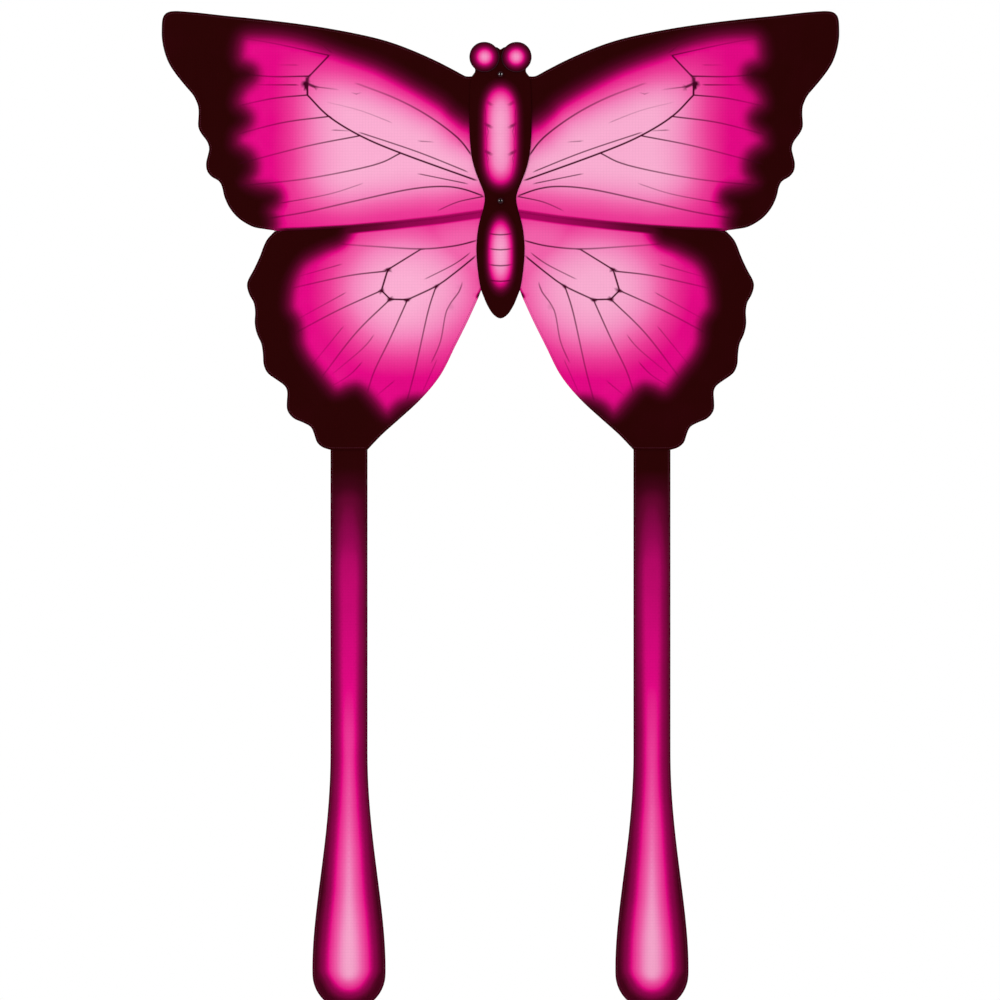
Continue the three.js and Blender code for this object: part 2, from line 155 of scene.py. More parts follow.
# Where the forewing laps the hindwing.
SEAM_LINE = [(0, -279), (12.3, -281.5), (120, -297), (217, -308), (310, -316.5), (402, -322), (468, -324)]


def smooth(low, high, value):
    """0 at low and 1 at high, with a soft start and end. low may be the larger one."""
    t = np.clip((np.asarray(value, float) - low) / (high - low), 0, 1)
    return t * t * (3 - 2 * t)


def from_eyelets(points):
    """Each point's distance to the middle of the nearer eyelet."""
    return np.minimum(*[np.hypot(points[:, 0], points[:, 1] - z) for z in EYELETS_Z])


def near_line(points, line):
    """Each point's distance to a line through several points, and how far along it is, from 0 to 1."""
    line = np.asarray(line, float)
    way = np.diff(line, axis=0)
    length = np.hypot(*way.T)
    start = np.concatenate([[0], np.cumsum(length)])
    best = np.full(len(points), np.inf)
    along = np.zeros(len(points))
    for i in range(len(way)):
        off = points - line[i]
        t = np.clip(off @ way[i] / max(length[i] ** 2, 1e-9), 0, 1)
        gap = np.hypot(*(off - t[:, None] * way[i]).T)
        closer = gap < best
        best = np.where(closer, gap, best)
        along = np.where(closer, start[i] + t * length[i], along)
    return best, along / start[-1]


def inside(points, loop):
    """Which points lie inside a closed loop."""
    x, z = points.T
    odd = np.zeros(len(points), bool)
    for (x0, z0), (x1, z1) in zip(loop, np.roll(loop, -1, axis=0)):
        if z0 != z1:
            odd ^= ((z0 > z) != (z1 > z)) & (x < x0 + (z - z0) * (x1 - x0) / (z1 - z0))
    return odd


def depth_inside(points, loop):
    """How far inside a closed loop each point is. It is negative outside."""
    loop = np.asarray(loop, float)
    gap, _ = near_line(points, np.vstack([loop, loop[:1]]))
    return np.where(inside(points, loop), gap, -gap)


def curve(points, spacing, closed=False):
    """Points every so often along the smooth curve that passes through the given ones."""
    p = np.asarray(points, float)
    if closed:
        p = np.vstack([p[-1], p, p[:2]])
    else:
        p = np.vstack([2 * p[0] - p[1], p, 2 * p[-1] - p[-2]])
    out = []
    for a, b, c, d in zip(p, p[1:], p[2:], p[3:]):
        steps = max(1, round(float(np.linalg.norm(c - b)) / spacing))
        for t in np.arange(steps) / steps:
            out.append(0.5 * (2 * b + (c - a) * t + (2 * a - 5 * b + 4 * c - d) * t**2
                              + (3 * b - a - 3 * c + d) * t**3))
    if not closed:
        out.append(p[-2])
    return np.array(out)


def resampled(line, spacing):
    """The same line with points every so often."""
    line = np.asarray(line, float)
    length = np.concatenate([[0], np.cumsum(np.linalg.norm(np.diff(line, axis=0), axis=1))])
    count = max(2, round(length[-1] / spacing) + 1)
    at = np.linspace(0, length[-1], count)
    return np.column_stack([np.interp(at, length, line[:, i]) for i in range(line.shape[1])])


def normals_2d(line):
    """The unit vector to the left of a line's direction at each of its points."""
    line = np.asarray(line, float)
    way = np.gradient(line, axis=0)
    if np.allclose(line[0], line[-1]):
        way[[0, -1]] = line[1] - line[-2]
    way /= np.maximum(np.hypot(*way.T)[:, None], 1e-9)
    return np.column_stack([-way[:, 1], way[:, 0]])


def mirrored(points, side):
    """Points of the right side, or their mirror images on the left."""
    return np.asarray(points, float) * (side, 1)


# ---------- what the frame says ----------
def corners(node):
    """A CAD node's lowest and highest corners."""
    low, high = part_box(node)
    return np.array(low) / MM, np.array(high) / MM


def node_points(node):
    """A CAD node's points, in millimetres."""
    return np.array([v.co for v in NODES[node].data.vertices]) / MM


def front_outline(node):
    """The outline of a flat CAD sheet's front face, as (x, z) points in order."""
    mesh = NODES[node].data
    at = [(round(v.co.x / MM, 2), round(v.co.z / MM, 2)) for v in mesh.vertices]
    edges = set()
    for face in mesh.polygons:
        if face.normal.y < -0.9:
            ring = [at[i] for i in face.vertices]
            edges.update(zip(ring, ring[1:] + ring[:1]))
    following = {a: b for a, b in edges if (b, a) not in edges}
    loops = []
    while following:
        here = min(following)
        loop = []
        while here in following:
            loop.append(here)
            here = following.pop(here)
        loops.append(loop)
    return np.array(max(loops, key=lambda loop: np.ptp(loop, axis=0).prod()))


def centre_line(node):
    """The centre line of a CAD rod or tube, from the spine outwards, as (x, z) points."""
    points = node_points(node)[:, [0, 2]]
    points = points[np.argsort(np.abs(points[:, 0]))]
    breaks = np.flatnonzero(np.diff(np.abs(points[:, 0])) > 5) + 1
    return np.array([np.unique(part.round(2), axis=0).mean(0) for part in np.split(points, breaks)])


# ---------- materials ----------
# Tone of the print, from the dark border through magenta to the palest pink.
TONES = [
    (0.00, "280101"), (0.12, "430118"), (0.25, "660330"), (0.35, "8f034d"), (0.43, "bd056a"), (0.50, "e30584"),
    (0.60, "ec3c97"), (0.70, "f163aa"), (0.80, "f486bd"), (0.90, "f69dc8"), (1.00, "f9add1"),
]
VEIN_COLOUR = "400020"
LIGHT_GAIN = 1.2  # how much brighter than its own colour a surface that faces the light looks


def linear(hex_colour, gain=1.0):
    """A colour written as six hexadecimal digits, as linear light."""
    parts = [int(hex_colour[i:i + 2], 16) / 255 for i in (0, 2, 4)]
    return [(c / 12.92 if c < 0.04045 else ((c + 0.055) / 1.055) ** 2.4) * gain for c in parts] + [1]


class Nodes:
    """A material and short calls that add nodes to it."""

    def __init__(self, name, roughness=0.6, metallic=0.0, specular=0.5, **more):
        self.material = bpy.data.materials.new(name)
        self.material.use_nodes = True
        self.tree = self.material.node_tree
        self.shader = self.tree.nodes["Principled BSDF"]
        for label, value in {"Roughness": roughness, "Metallic": metallic, "Specular IOR Level": specular,
                             **more}.items():
            self.shader.inputs[label].default_value = value

    def add(self, kind, links=None, **settings):
        """A node, with its inputs by name or number and its settings."""
        node = self.tree.nodes.new(kind)
        for key, value in settings.items():
            setattr(node, key, value)
        for key, value in (links or {}).items():
            if isinstance(value, bpy.types.NodeSocket):
                self.tree.links.new(value, node.inputs[key])
            else:
                node.inputs[key].default_value = value
        return node

    def maths(self, operation, a, b=0.0):
        return self.add("ShaderNodeMath", {0: a, 1: b}, operation=operation).outputs[0]

    def mix(self, share, a, b, blend="MIX"):
        node = self.add("ShaderNodeMix", data_type="RGBA", blend_type=blend)
        for index, value in ((0, share), (6, a), (7, b)):
            if isinstance(value, bpy.types.NodeSocket):
                self.tree.links.new(value, node.inputs[index])
            else:
                node.inputs[index].default_value = value
        return node.outputs[2]

    def noise(self, scale, detail=3.0, vector=None, roughness=0.5):
        links = {"Scale": scale, "Detail": detail, "Roughness": roughness}
        if vector is not None:
            links["Vector"] = vector
        return self.add("ShaderNodeTexNoise", links).outputs["Fac"]

    def stretched(self, vector, scale):
        return self.add("ShaderNodeMapping", {"Vector": vector, "Scale": scale}).outputs[0]

    def cloth(self):
        """Metres along and across the cloth, from its own layout."""
        return self.add("ShaderNodeUVMap", uv_map="layout").outputs[0]

    def threads(self, vector, pitch, direction, sharp=1.0):
        """Ridges every so many millimetres."""
        wave = self.add("ShaderNodeTexWave", {"Vector": vector, "Scale": math.pi / 10 / (pitch * MM)},
                        bands_direction=direction)
        return self.maths("POWER", wave.outputs["Fac"], sharp)

    def bump(self, height, strength, distance, before=None):
        links = {"Height": height, "Strength": strength, "Distance": distance * MM}
        if before is not None:
            links["Normal"] = before
        return self.add("ShaderNodeBump", links).outputs[0]

    def join(self, socket, name):
        self.tree.links.new(socket, self.shader.inputs[name])


def ripstop(nodes, vector):
    """The weave's height: fine threads, with a thicker one every 6 mm each way."""
    fine = nodes.maths("MULTIPLY", nodes.threads(vector, 0.9, "X"), nodes.threads(vector, 0.9, "Y"))
    grid = nodes.maths("MAXIMUM", nodes.threads(vector, 6, "X", 24), nodes.threads(vector, 6, "Y", 24))
    return fine, grid


def print_material(name, ink, roughness):
    """Printed ripstop. ink is the share of the print that shows: all on the front, less on the back."""
    made = Nodes(name, roughness, specular=0.015)
    layout = made.cloth()
    tone = made.add("ShaderNodeAttribute", attribute_name="tone").outputs["Fac"]
    uneven = made.noise(9.0, 4.0, layout)
    tone = made.maths("ADD", tone, made.maths("MULTIPLY", made.maths("SUBTRACT", uneven, 0.5), 0.05))
    ramp = made.add("ShaderNodeValToRGB", {"Fac": tone})
    stops = ramp.color_ramp.elements
    while len(stops) < len(TONES):
        stops.new(0.5)
    for stop, (place, colour) in zip(stops, TONES):
        stop.position = place
        stop.color = linear(colour, 1 / LIGHT_GAIN)
    vein = made.add("ShaderNodeAttribute", attribute_name="vein").outputs["Fac"]
    colour = made.mix(vein, ramp.outputs["Color"], linear(VEIN_COLOUR, 1 / LIGHT_GAIN))
    fine, grid = ripstop(made, layout)
    # Painted shade: the colour darkens along the ripstop's thicker grid threads.
    shade = made.maths("MULTIPLY", grid, 0.09)
    colour = made.mix(shade, colour, linear("3a0418", 1 / LIGHT_GAIN))
    if ink < 1:
        colour = made.mix(1 - ink, colour, linear("c98aa6", 1 / LIGHT_GAIN))
    made.join(colour, "Base Color")
    crease = made.noise(60.0, 5.0, layout, 0.6)
    normal = made.bump(crease, 0.25, 0.6)
    normal = made.bump(grid, 0.5, 0.12, normal)
    made.join(made.bump(fine, 0.4, 0.05, normal), "Normal")
    return made.material


def tape_material(name, colour, rib=1.1):
    """Woven tape with ribs across it, for sleeves, patches and pockets."""
    made = Nodes(name, 0.85, specular=0.03)
    layout = made.cloth()
    rib_height = made.threads(layout, rib, "X")
    cross = made.threads(layout, rib * 1.7, "Y")
    worn = made.noise(40.0, 4.0, layout)
    # Painted highlight: the colour turns paler on the crest of each rib.
    shade = made.mix(made.maths("MULTIPLY", rib_height, 0.35), linear(colour), linear("6a4452"))
    made.join(made.mix(made.maths("MULTIPLY", worn, 0.35), shade, linear("120408")), "Base Color")
    height = made.maths("ADD", rib_height, made.maths("MULTIPLY", cross, 0.5))
    made.join(made.bump(height, 0.6, 0.18, made.bump(worn, 0.3, 0.5)), "Normal")
    return made.material


def thread_material(name, colour):
    """Twisted sewing thread."""
    made = Nodes(name, 0.6, specular=0.3)
    place = made.add("ShaderNodeTexCoord").outputs["Object"]
    wave = made.add("ShaderNodeTexWave", {"Vector": place, "Scale": 260.0}, bands_direction="DIAGONAL")
    twist = wave.outputs["Fac"]
    # Painted highlight: the colour turns paler along each ridge of the twist.
    made.join(made.mix(twist, linear(colour), linear("7a2848")), "Base Color")
    made.join(made.bump(twist, 0.5, 0.08), "Normal")
    return made.material


def rod_material():
    """Pultruded fibreglass: long fibres under a satin skin."""
    made = Nodes("fibreglass", 0.4, specular=0.2)
    fibres = made.noise(30.0, 6.0, made.stretched(made.cloth(), (4, 900, 1)), 0.6)
    made.join(made.mix(fibres, linear("161617"), linear("34343a")), "Base Color")
    scuffs = made.noise(140.0, 4.0, made.cloth())
    made.join(made.maths("ADD", made.maths("MULTIPLY", scuffs, 0.2), 0.28), "Roughness")
    made.join(made.bump(fibres, 0.3, 0.05), "Normal")
    return made.material


def plastic_material(name, light, dark, roughness, grain, specular=0.2):
    """Moulded plastic or vinyl with a fine grain and paler worn patches."""
    made = Nodes(name, roughness, specular=specular)
    place = made.add("ShaderNodeTexCoord").outputs["Object"]
    pits = made.noise(grain, 4.0, place)
    wear = made.noise(grain / 14, 3.0, place)
    made.join(made.mix(wear, linear(dark), linear(light)), "Base Color")
    made.join(made.maths("ADD", made.maths("MULTIPLY", wear, 0.2), roughness - 0.1), "Roughness")
    made.join(made.bump(pits, 0.35, 0.06), "Normal")
    return made.material


def metal_material():
    """Dark enamel on a pressed eyelet, with a fine random speckle."""
    made = Nodes("eyelet_enamel", 0.38, metallic=0.0, specular=0.08)
    place = made.add("ShaderNodeTexCoord").outputs["Object"]
    worn = made.noise(900.0, 5.0, place)
    made.join(made.mix(worn, linear("1c0106"), linear("300812")), "Base Color")
    made.join(made.bump(worn, 0.2, 0.04), "Normal")
    return made.material


PRINT_FRONT = print_material("sail_print_front", 1.0, 0.62)
PRINT_BACK = print_material("sail_print_back", 0.88, 0.72)
TAPE = tape_material("woven_tape", "2a0f18")
BINDING = tape_material("eye_binding", "24010a", 0.6)
TAB = tape_material("hook_and_loop", "241016", 0.7)
THREAD = thread_material("dark_thread", "3a0618")
ROD = rod_material()
VINYL = plastic_material("vinyl", "2b2b2d", "101011", 0.42, 700.0)
NYLON = plastic_material("moulded_nylon", "2d2d31", "141416", 0.5, 1400.0)
ENAMEL = metal_material()


# ---------- meshes ----------
def make_object(name, vertices, faces, materials, kinds=None, layout=None, values=None):
    """An object from vertices in millimetres. layout gives each vertex's place on the uncut cloth."""
    mesh = bpy.data.meshes.new(name)
    mesh.from_pydata((np.asarray(vertices, float) * MM).tolist(), [], [list(map(int, f)) for f in faces])
    for material in materials:
        mesh.materials.append(material)
    mesh.polygons.foreach_set("use_smooth", [True] * len(mesh.polygons))
    if kinds is not None:
        mesh.polygons.foreach_set("material_index", list(map(int, kinds)))
    if layout is not None:
        corner = np.zeros(len(mesh.loops), int)
        mesh.loops.foreach_get("vertex_index", corner)
        uv = mesh.uv_layers.new(name="layout")
        uv.data.foreach_set("uv", (np.asarray(layout, float)[corner] * MM).ravel())
    for key, numbers in (values or {}).items():
        attribute = mesh.attributes.new(key, "FLOAT", "POINT")
        attribute.data.foreach_set("value", np.asarray(numbers, np.float32))
    mesh.update()
    made = bpy.data.objects.new(name, mesh)
    bpy.context.scene.collection.objects.link(made)
    return made


def triangulated(outline, rows, spacing, hole=None, clear=1.2):
    """A flat mesh inside an outline, with edges along the given rows and even triangles between them."""
    outline = np.asarray(outline, float)
    kept = []
    for row in rows:
        ok = depth_inside(row, outline) > clear
        run = []
        for point, keep in zip(row, list(ok)):
            if keep:
                run.append(point)
            if run and not keep:
                kept.append(np.array(run))
                run = []
        if run:
            kept.append(np.array(run))
    kept = [run for run in kept if len(run) > 1]
    low, high = outline.min(0), outline.max(0)
    step = spacing * math.sqrt(0.75)
    grid = np.array([(x + (spacing / 2 if j % 2 else 0), z)
                     for j, z in enumerate(np.arange(low[1], high[1], step))
                     for x in np.arange(low[0], high[0], spacing)])
    grid = grid[depth_inside(grid, outline) > spacing * 0.5]
    for run in kept:
        near = ((grid > run.min(0) - spacing) & (grid < run.max(0) + spacing)).all(1)
        gap = np.full(len(grid), np.inf)
        gap[near] = near_line(grid[near], run)[0]
        grid = grid[gap > spacing * 0.45]
    points = [outline]
    count = len(outline)
    edges = [(i, (i + 1) % count) for i in range(count)]
    for run in kept:
        points.append(run)
        edges += [(count + i, count + i + 1) for i in range(len(run) - 1)]
        count += len(run)
    points.append(grid)
    found = delaunay_2d_cdt([Vector(p) for p in np.vstack(points)], edges, [], 1, 1e-3, False)
    flat = np.array([tuple(v) for v in found[0]])
    faces = np.array([f for f in found[2] if len(f) == 3])
    faces = faces[inside(flat[faces].mean(1), outline)]
    if hole is not None:
        middle = flat[faces].mean(1)
        faces = faces[~hole(middle)]
    used = np.unique(faces)
    renumber = np.full(len(flat), -1)
    renumber[used] = np.arange(len(used))
    return flat[used], renumber[faces]


def rim_edges(faces):
    """The edges that only one face uses, in that face's own direction."""
    edges = {(a, b) for f in faces for a, b in zip(f, np.roll(f, -1))}
    return [(a, b) for a, b in edges if (b, a) not in edges]


def shell(name, flat, faces, front_y, back_y, materials, values=None, layout=None):
    """A closed thin piece from one flat mesh, with its own depth in front and behind."""
    count = len(flat)
    front = np.column_stack([flat[:, 0], front_y, flat[:, 1]])
    back = np.column_stack([flat[:, 0], back_y, flat[:, 1]])
    sides = [(b, a, a + count, b + count) for a, b in rim_edges(faces.tolist())]
    all_faces = faces.tolist() + (faces[:, ::-1] + count).tolist() + sides
    kinds = [0] * len(faces) + [len(materials) - 1] * len(faces) + [0] * len(sides)
    layout = flat if layout is None else layout
    made = make_object(name, np.vstack([front, back]), all_faces, materials, kinds,
                       np.vstack([layout, layout]), {k: np.tile(v, 2) for k, v in (values or {}).items()})
    made.data.polygons.foreach_set("use_smooth", [True] * (2 * len(faces)) + [False] * len(sides))
    made.data.update()
    return made


def loft(name, rings, materials, closed=True):
    """A tube through rings that have the same number of points, with its ends closed."""
    rings = np.asarray(rings, float)
    many, around = rings.shape[:2]
    faces = [(i * around + j, i * around + (j + 1) % around, (i + 1) * around + (j + 1) % around,
              (i + 1) * around + j) for i in range(many - 1) for j in range(around)]
    if closed:
        faces += [tuple(range(around))[::-1], tuple((many - 1) * around + j for j in range(around))]
    ring_gap = np.linalg.norm(np.diff(rings.mean(1), axis=0), axis=1)
    along = np.concatenate([[0], np.cumsum(ring_gap)])
    turn = np.linalg.norm(rings[:, 1] - rings[:, 0], axis=1).max()
    layout = [(along[i], j * turn) for i in range(many) for j in range(around)]
    return make_object(name, rings.reshape(-1, 3), faces, materials, layout=layout)


def tube_rings(path, radii, around=20):
    """Rings round a path in the plane of the rods. path holds (x, y, z) points."""
    path = np.asarray(path, float)
    way = np.gradient(path, axis=0)
    way /= np.linalg.norm(way, axis=1)[:, None]
    depth = np.array([0.0, 1.0, 0.0])
    rings = []
    for point, direction, r in zip(path, way, np.broadcast_to(radii, len(path))):
        across = np.cross(direction, depth)
        across /= np.linalg.norm(across)
        turn = np.linspace(0, 2 * math.pi, around, endpoint=False)
        circle = np.cos(turn)[:, None] * across + np.sin(turn)[:, None] * np.cross(direction, across)
        rings.append(point + r * circle)
    return rings


def finished(piece, body, slot, *nodes):
    """The piece rides on its body and stands for its CAD nodes, which it hides. slot is not used."""
    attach(piece, body)
    if nodes:
        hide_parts(*nodes)
    return piece


def rod(name, line, radius, body, node, y=ROD_Y):
    """A rod with chamfered ends along a line of (x, z) points."""
    line = resampled(line, 6)
    ends = 0.5
    path = np.column_stack([line[:, 0], np.full(len(line), y), line[:, 1]])
    first = path[0] + (path[1] - path[0]) / np.linalg.norm(path[1] - path[0]) * ends
    last = path[-1] + (path[-2] - path[-1]) / np.linalg.norm(path[-2] - path[-1]) * ends
    path = np.vstack([path[:1], [first], path[1:-1], [last], path[-1:]])
    radii = np.full(len(path), float(radius))
    radii[[0, -1]] -= ends
    return finished(loft(name, tube_rings(path, radii, 24), [ROD]), body, "fibreglass", node)


def stitches(name, rows, body=None, long=3.0, pitch=4.6, thick=0.32):
    """A line of sewing stitches along each row of (x, y, z) points, as one piece."""
    around, ring_at = 6, ((-0.5, 0.25), (-0.36, 0.85), (0, 1.0), (0.36, 0.85), (0.5, 0.25))
    last = (len(ring_at) - 1) * around
    turn = np.linspace(0, 2 * math.pi, around, endpoint=False)
    vertices, faces = [], []
    for row in rows:
        row = resampled(row, pitch)
        for a, b in zip(row, row[1:]):
            way = (b - a) / max(np.linalg.norm(b - a), 1e-9)
            across = np.cross(way, [0, 1, 0])
            across /= np.linalg.norm(across)
            up = np.cross(across, way)
            first = len(vertices)
            for t, r in ring_at:
                centre = (a + b) / 2 + way * t * long
                for angle in turn:
                    outwards = math.cos(angle) * across + math.sin(angle) * up
                    vertices.append(centre + 0.9 * thick * r * outwards)
            for i in range(0, last, around):
                for j in range(around):
                    k = (j + 1) % around
                    here = first + i
                    faces.append((here + j, here + k, here + around + k, here + around + j))
            faces.append(tuple(first + j for j in range(around))[::-1])
            faces.append(tuple(first + last + j for j in range(around)))
    made = make_object(name, vertices, faces, [THREAD])
    if body:
        return finished(made, body, "tape_cloth")
    return made


# ---------- the print's tones ----------
def vein_rows(veins, side=1, spacing=9):
    """The mesh rows that keep each vein's edges clean."""
    rows = []
    for points, width, _, _ in veins:
        line = mirrored(curve(points, spacing), side)
        left = normals_2d(line)
        rows += [line + left * width * share for share in (-0.8, -0.28, 0.28, 0.8)]
    return rows


def free_ends(number, lines):
    """Whether each end of a vein stops in open cloth instead of meeting another vein."""
    others = lines[:number] + lines[number + 1:]
    tips = lines[number][[0, -1]]
    return [min(near_line(tip[None], other)[0][0] for other in others) > 3 for tip in tips]


def vein_strength(flat, veins):
    """How dark the veins are at each point. A vein fades out where it stops in open cloth."""
    strength = np.zeros(len(flat))
    lines = [curve(points, 14) for points, _, _, _ in veins]
    for number, (line, (_, width, start, end)) in enumerate(zip(lines, veins)):
        near = ((flat > line.min(0) - 6) & (flat < line.max(0) + 6)).all(1)
        gap, along = near_line(flat[near], line)
        value = (start + (end - start) * along) * smooth(0.8 * width, 0.28 * width, gap)
        for free, tip in zip(free_ends(number, lines), line[[0, -1]]):
            if free:
                value = value * smooth(1, 11, np.hypot(*(flat[near] - tip).T))
        strength[near] = np.maximum(strength[near], value)
    return strength


def forewing_tone(flat):
    """Dark border, magenta, then pale pink away from the tip, the top band and the seam."""
    depth = depth_inside(flat, curve(FOREWING_FIELD, 12, closed=True))
    mask = smooth(-14, 44, depth)
    band, _ = near_line(flat, LEADING_BAND)
    seam, _ = near_line(flat, SEAM_LINE)
    reach = 82 + 0.17 * flat[:, 0]
    pale = smooth(478, 305, flat[:, 0]) * smooth(0.12, 1, band / reach)
    pale *= 0.14 + 0.86 * smooth(0, 118, seam)
    return seam_band(flat, 0.5 * mask + 0.5 * pale * mask)


def hindwing_tone(flat):
    """Dark border, magenta, then pale pink round the wing's middle and up beside the body."""
    depth = depth_inside(flat, curve(HINDWING_FIELD, 12, closed=True))
    corner, _ = near_line(flat, [(30, -446), (44, -458)])
    mask = smooth(-12, 38, depth) * smooth(1, 9, corner)
    x, z = flat.T
    wide = np.where(x > 200, 190, 215)
    tall = np.where(z > -445, 165, 178)
    pale = 1 - smooth(0.12, 1.08, np.hypot((x - 200) / wide, (z + 445) / tall))
    beside = 0.4 * (1 - smooth(25, 110, np.hypot((x - 70) * 0.7, z + 365)))
    return seam_band(flat, 0.5 * mask + 0.5 * np.maximum(pale, beside) * mask)


def seam_band(flat, tone):
    """The tone with the darker band that is printed along the seam between the wings."""
    gap, _ = near_line(flat + (0, 3.5), SEAM_LINE)
    share = smooth(11, 6, gap) * smooth(470, 440, flat[:, 0])
    dark = np.interp(flat[:, 0], [40, 200, 340], [0.39, 0.34, 0.12])
    return tone * (1 - share) + np.minimum(dark, tone) * share


def ellipse_tone(flat, centre, half, steps, power=2):
    """A tone that changes in steps outwards from a centre. A higher power squares the oval's ends."""
    x, z = np.abs(flat - centre).T / np.reshape(half, (2, 1))
    r = np.sqrt(x**2 + z**power)
    places, tones = zip(*steps)
    return np.interp(r, places, tones)


SEGMENT_STEPS = [
    (0, 0.94), (0.25, 0.89), (0.5, 0.79), (0.75, 0.62), (1, 0.42), (1.12, 0.28), (1.3, 0.1), (1.48, 0),
]
EYE_STEPS = [
    (0, 0.88), (4, 0.84), (8, 0.75), (13, 0.61), (16, 0.47), (19.5, 0.36), (26, 0.17), (30, 0.07),
    (32.5, 0.02),
]


def body_tone(flat):
    """Two pale ovals: the thorax above and the abdomen below."""
    thorax = ellipse_tone(flat, (0, -128), (33, 99), SEGMENT_STEPS, 4)
    abdomen = ellipse_tone(flat, (0, -371), (24.5, 68), SEGMENT_STEPS, 2.6)
    return np.maximum(thorax, abdomen)


# The marks printed on the body: ticks on the thorax, bars across the abdomen, then fine hairs on the thorax.
BODY_MARKS = [([(s * 30, z), (s * 24, z - 3), (s * 15, z - 9)], 5.4, 0.55, 0.95)
              for s in (-1, 1) for z in (-57, -104, -160)]
BODY_MARKS += [([(-27, z + 2.5), (-14, z), (0, z - 1), (14, z), (27, z + 2.5)], 2.6, 0.8, 0.8)
               for z in (-331, -362, -395, -427)]
THORAX_HAIR = [(32, -66), (30, -92), (31, -118), (28, -140), (29, -168), (25, -196), (23, -216)]
BODY_MARKS += [([(s * x, z) for x, z in THORAX_HAIR], 1.6, 0.5, 0.25) for s in (-1, 1)]
BODY_MARKS += [([(s * 29, z), (s * 25, z - 12), (s * 27, z - 24)], 1.6, 0.6, 0.3)
               for s in (-1, 1) for z in (-106, -162)]


def band_rows(side):
    """The mesh rows that keep the edges of the band along the seam clean."""
    line = mirrored(curve(SEAM_LINE[1:], 9), side)
    return [line + (0, shift) for shift in (8, 5.3, 3, -2, -8.5, -10, -12, -14.6)]


# ---------- sails ----------
def wing_depth(points, side, held):
    """The depth of a wing's cloth at (x, z) points: flat along its rods, and stretched back between them."""
    here = np.asarray(points, float) * (side, 1)
    back = np.full(len(here), float(BELLY))
    calm = np.ones(len(here))
    for line in held:
        gap, _ = near_line(here, line)
        back *= 1 - np.exp(-((gap / 85) ** 2))
        calm *= 1 - np.exp(-((gap / 50) ** 2))
    back *= smooth(-760, -640, here[:, 1])
    creases = np.zeros(len(here))
    for centre, count, phase in (((24, -280), 19, 0.4), ((27, -323), 15, 1.7), ((640, 112), 23, 2.2)):
        off = here - centre
        far = np.hypot(*off.T)
        angle = np.arctan2(off[:, 1], off[:, 0])
        spread = np.exp(-(((far - 110) / 150) ** 2)) * smooth(20, 80, far)
        creases += np.sin(angle * count + phase * side) * spread
    return 0.4 + back + calm * (0.8 * creases + 1.5 * soft_noise(here, 130, 5 + side))


def hem_half(edge):
    """Half of the cloth's thickness by distance from its edge: it is doubled over in the hem."""
    return (CLOTH + (HEM_THICK - CLOTH) * smooth(HEM_WIDTH + 1.3, HEM_WIDTH, edge)) / 2


def hem_threads(runs, depth_of):
    """The rows of stitches on both faces of a hem, as (x, y, z) points."""
    rows = []
    for run in runs:
        run = resampled(run, 4.6)
        depth = depth_of(run)
        for face in (-1, 1):
            rows.append(np.column_stack([run[:, 0], depth + face * (HEM_THICK / 2 + 0.05), run[:, 1]]))
    return rows


def soft_noise(flat, scale, seed):
    """Smooth noise from -1 to 1 over a surface."""
    return np.array([noise.noise(Vector((x / scale, z / scale, seed))) for x, z in flat])


def sail(side_name, part, veins, tone_of, held):
    """One printed panel with its hem, and the surface that its fittings are sewn to."""
    side = SIDES[side_name]
    node = f"{side_name}_{part}"
    outline = front_outline(node)
    if part == "hindwing_panel":
        gap, _ = near_line(np.abs(outline) * (1, -1), SEAM_LINE)
        on_seam = (gap < 4) & (np.abs(outline[:, 0]) < 460)
        outline = outline + np.column_stack([np.zeros(len(outline)), np.where(on_seam, 9, 0)])
    outline = resample_loop(outline, 6)
    loop = np.vstack([outline, outline[:1]])
    rows = inset_rows(loop, HEM_WIDTH) + inset_rows(loop, HEM_WIDTH + 1.2)
    flat, faces = triangulated(outline, rows + vein_rows(veins, side) + band_rows(side), GRID)
    right = flat * (side, 1)

    def middle(points):
        """The depth of the cloth's middle. The hindwing's top edge laps behind the forewing."""
        seam, _ = near_line(np.asarray(points, float) * (side, 1), SEAM_LINE)
        lap = 0.85 * smooth(16, 9, seam) if part == "hindwing_panel" else 0
        return wing_depth(points, side, held) + lap

    half = hem_half(near_line(flat, loop)[0])
    y = middle(flat)
    made = shell(f"{side_name}_{part.replace('_panel', '_sail')}", flat, faces, y - half, y + half,
                 [PRINT_FRONT, PRINT_BACK], {"tone": tone_of(right), "vein": vein_strength(right, veins)})
    finished(made, f"{side_name}_wing", "sail_print", node)
    rows = hem_threads(inset_rows(loop, HEM_WIDTH - 1.6), middle)
    stitches(f"{side_name}_{part.replace('_panel', '_hem_stitches')}", rows, f"{side_name}_wing")
    return middle


def inset_rows(loop, inset):
    """The lines that run a set distance inside a closed outline."""
    row = loop + normals_2d(loop) * inset
    gap, _ = near_line(row, loop)
    return [part[1:] for part in np.split(row, np.flatnonzero(gap < inset - 0.6)) if len(part) > 3]


def resample_loop(loop, spacing):
    """A closed outline with points every so often, and its sharp corners kept."""
    way = np.roll(loop, -1, axis=0) - loop
    before = np.roll(way, 1, axis=0)
    turn = np.abs(np.arctan2(before[:, 0] * way[:, 1] - before[:, 1] * way[:, 0], (before * way).sum(1)))
    sharp = np.flatnonzero(turn > math.radians(35))
    if not len(sharp):
        sharp = np.array([0])
    out = []
    for a, b in zip(sharp, np.roll(sharp, -1)):
        stretch = loop[np.arange(a, b + 1 if b > a else b + len(loop) + 1) % len(loop)]
        smooth_stretch = curve(stretch, spacing) if len(stretch) > 2 else resampled(stretch, spacing)
        out.append(resampled(smooth_stretch, spacing)[:-1])
    return np.vstack(out)


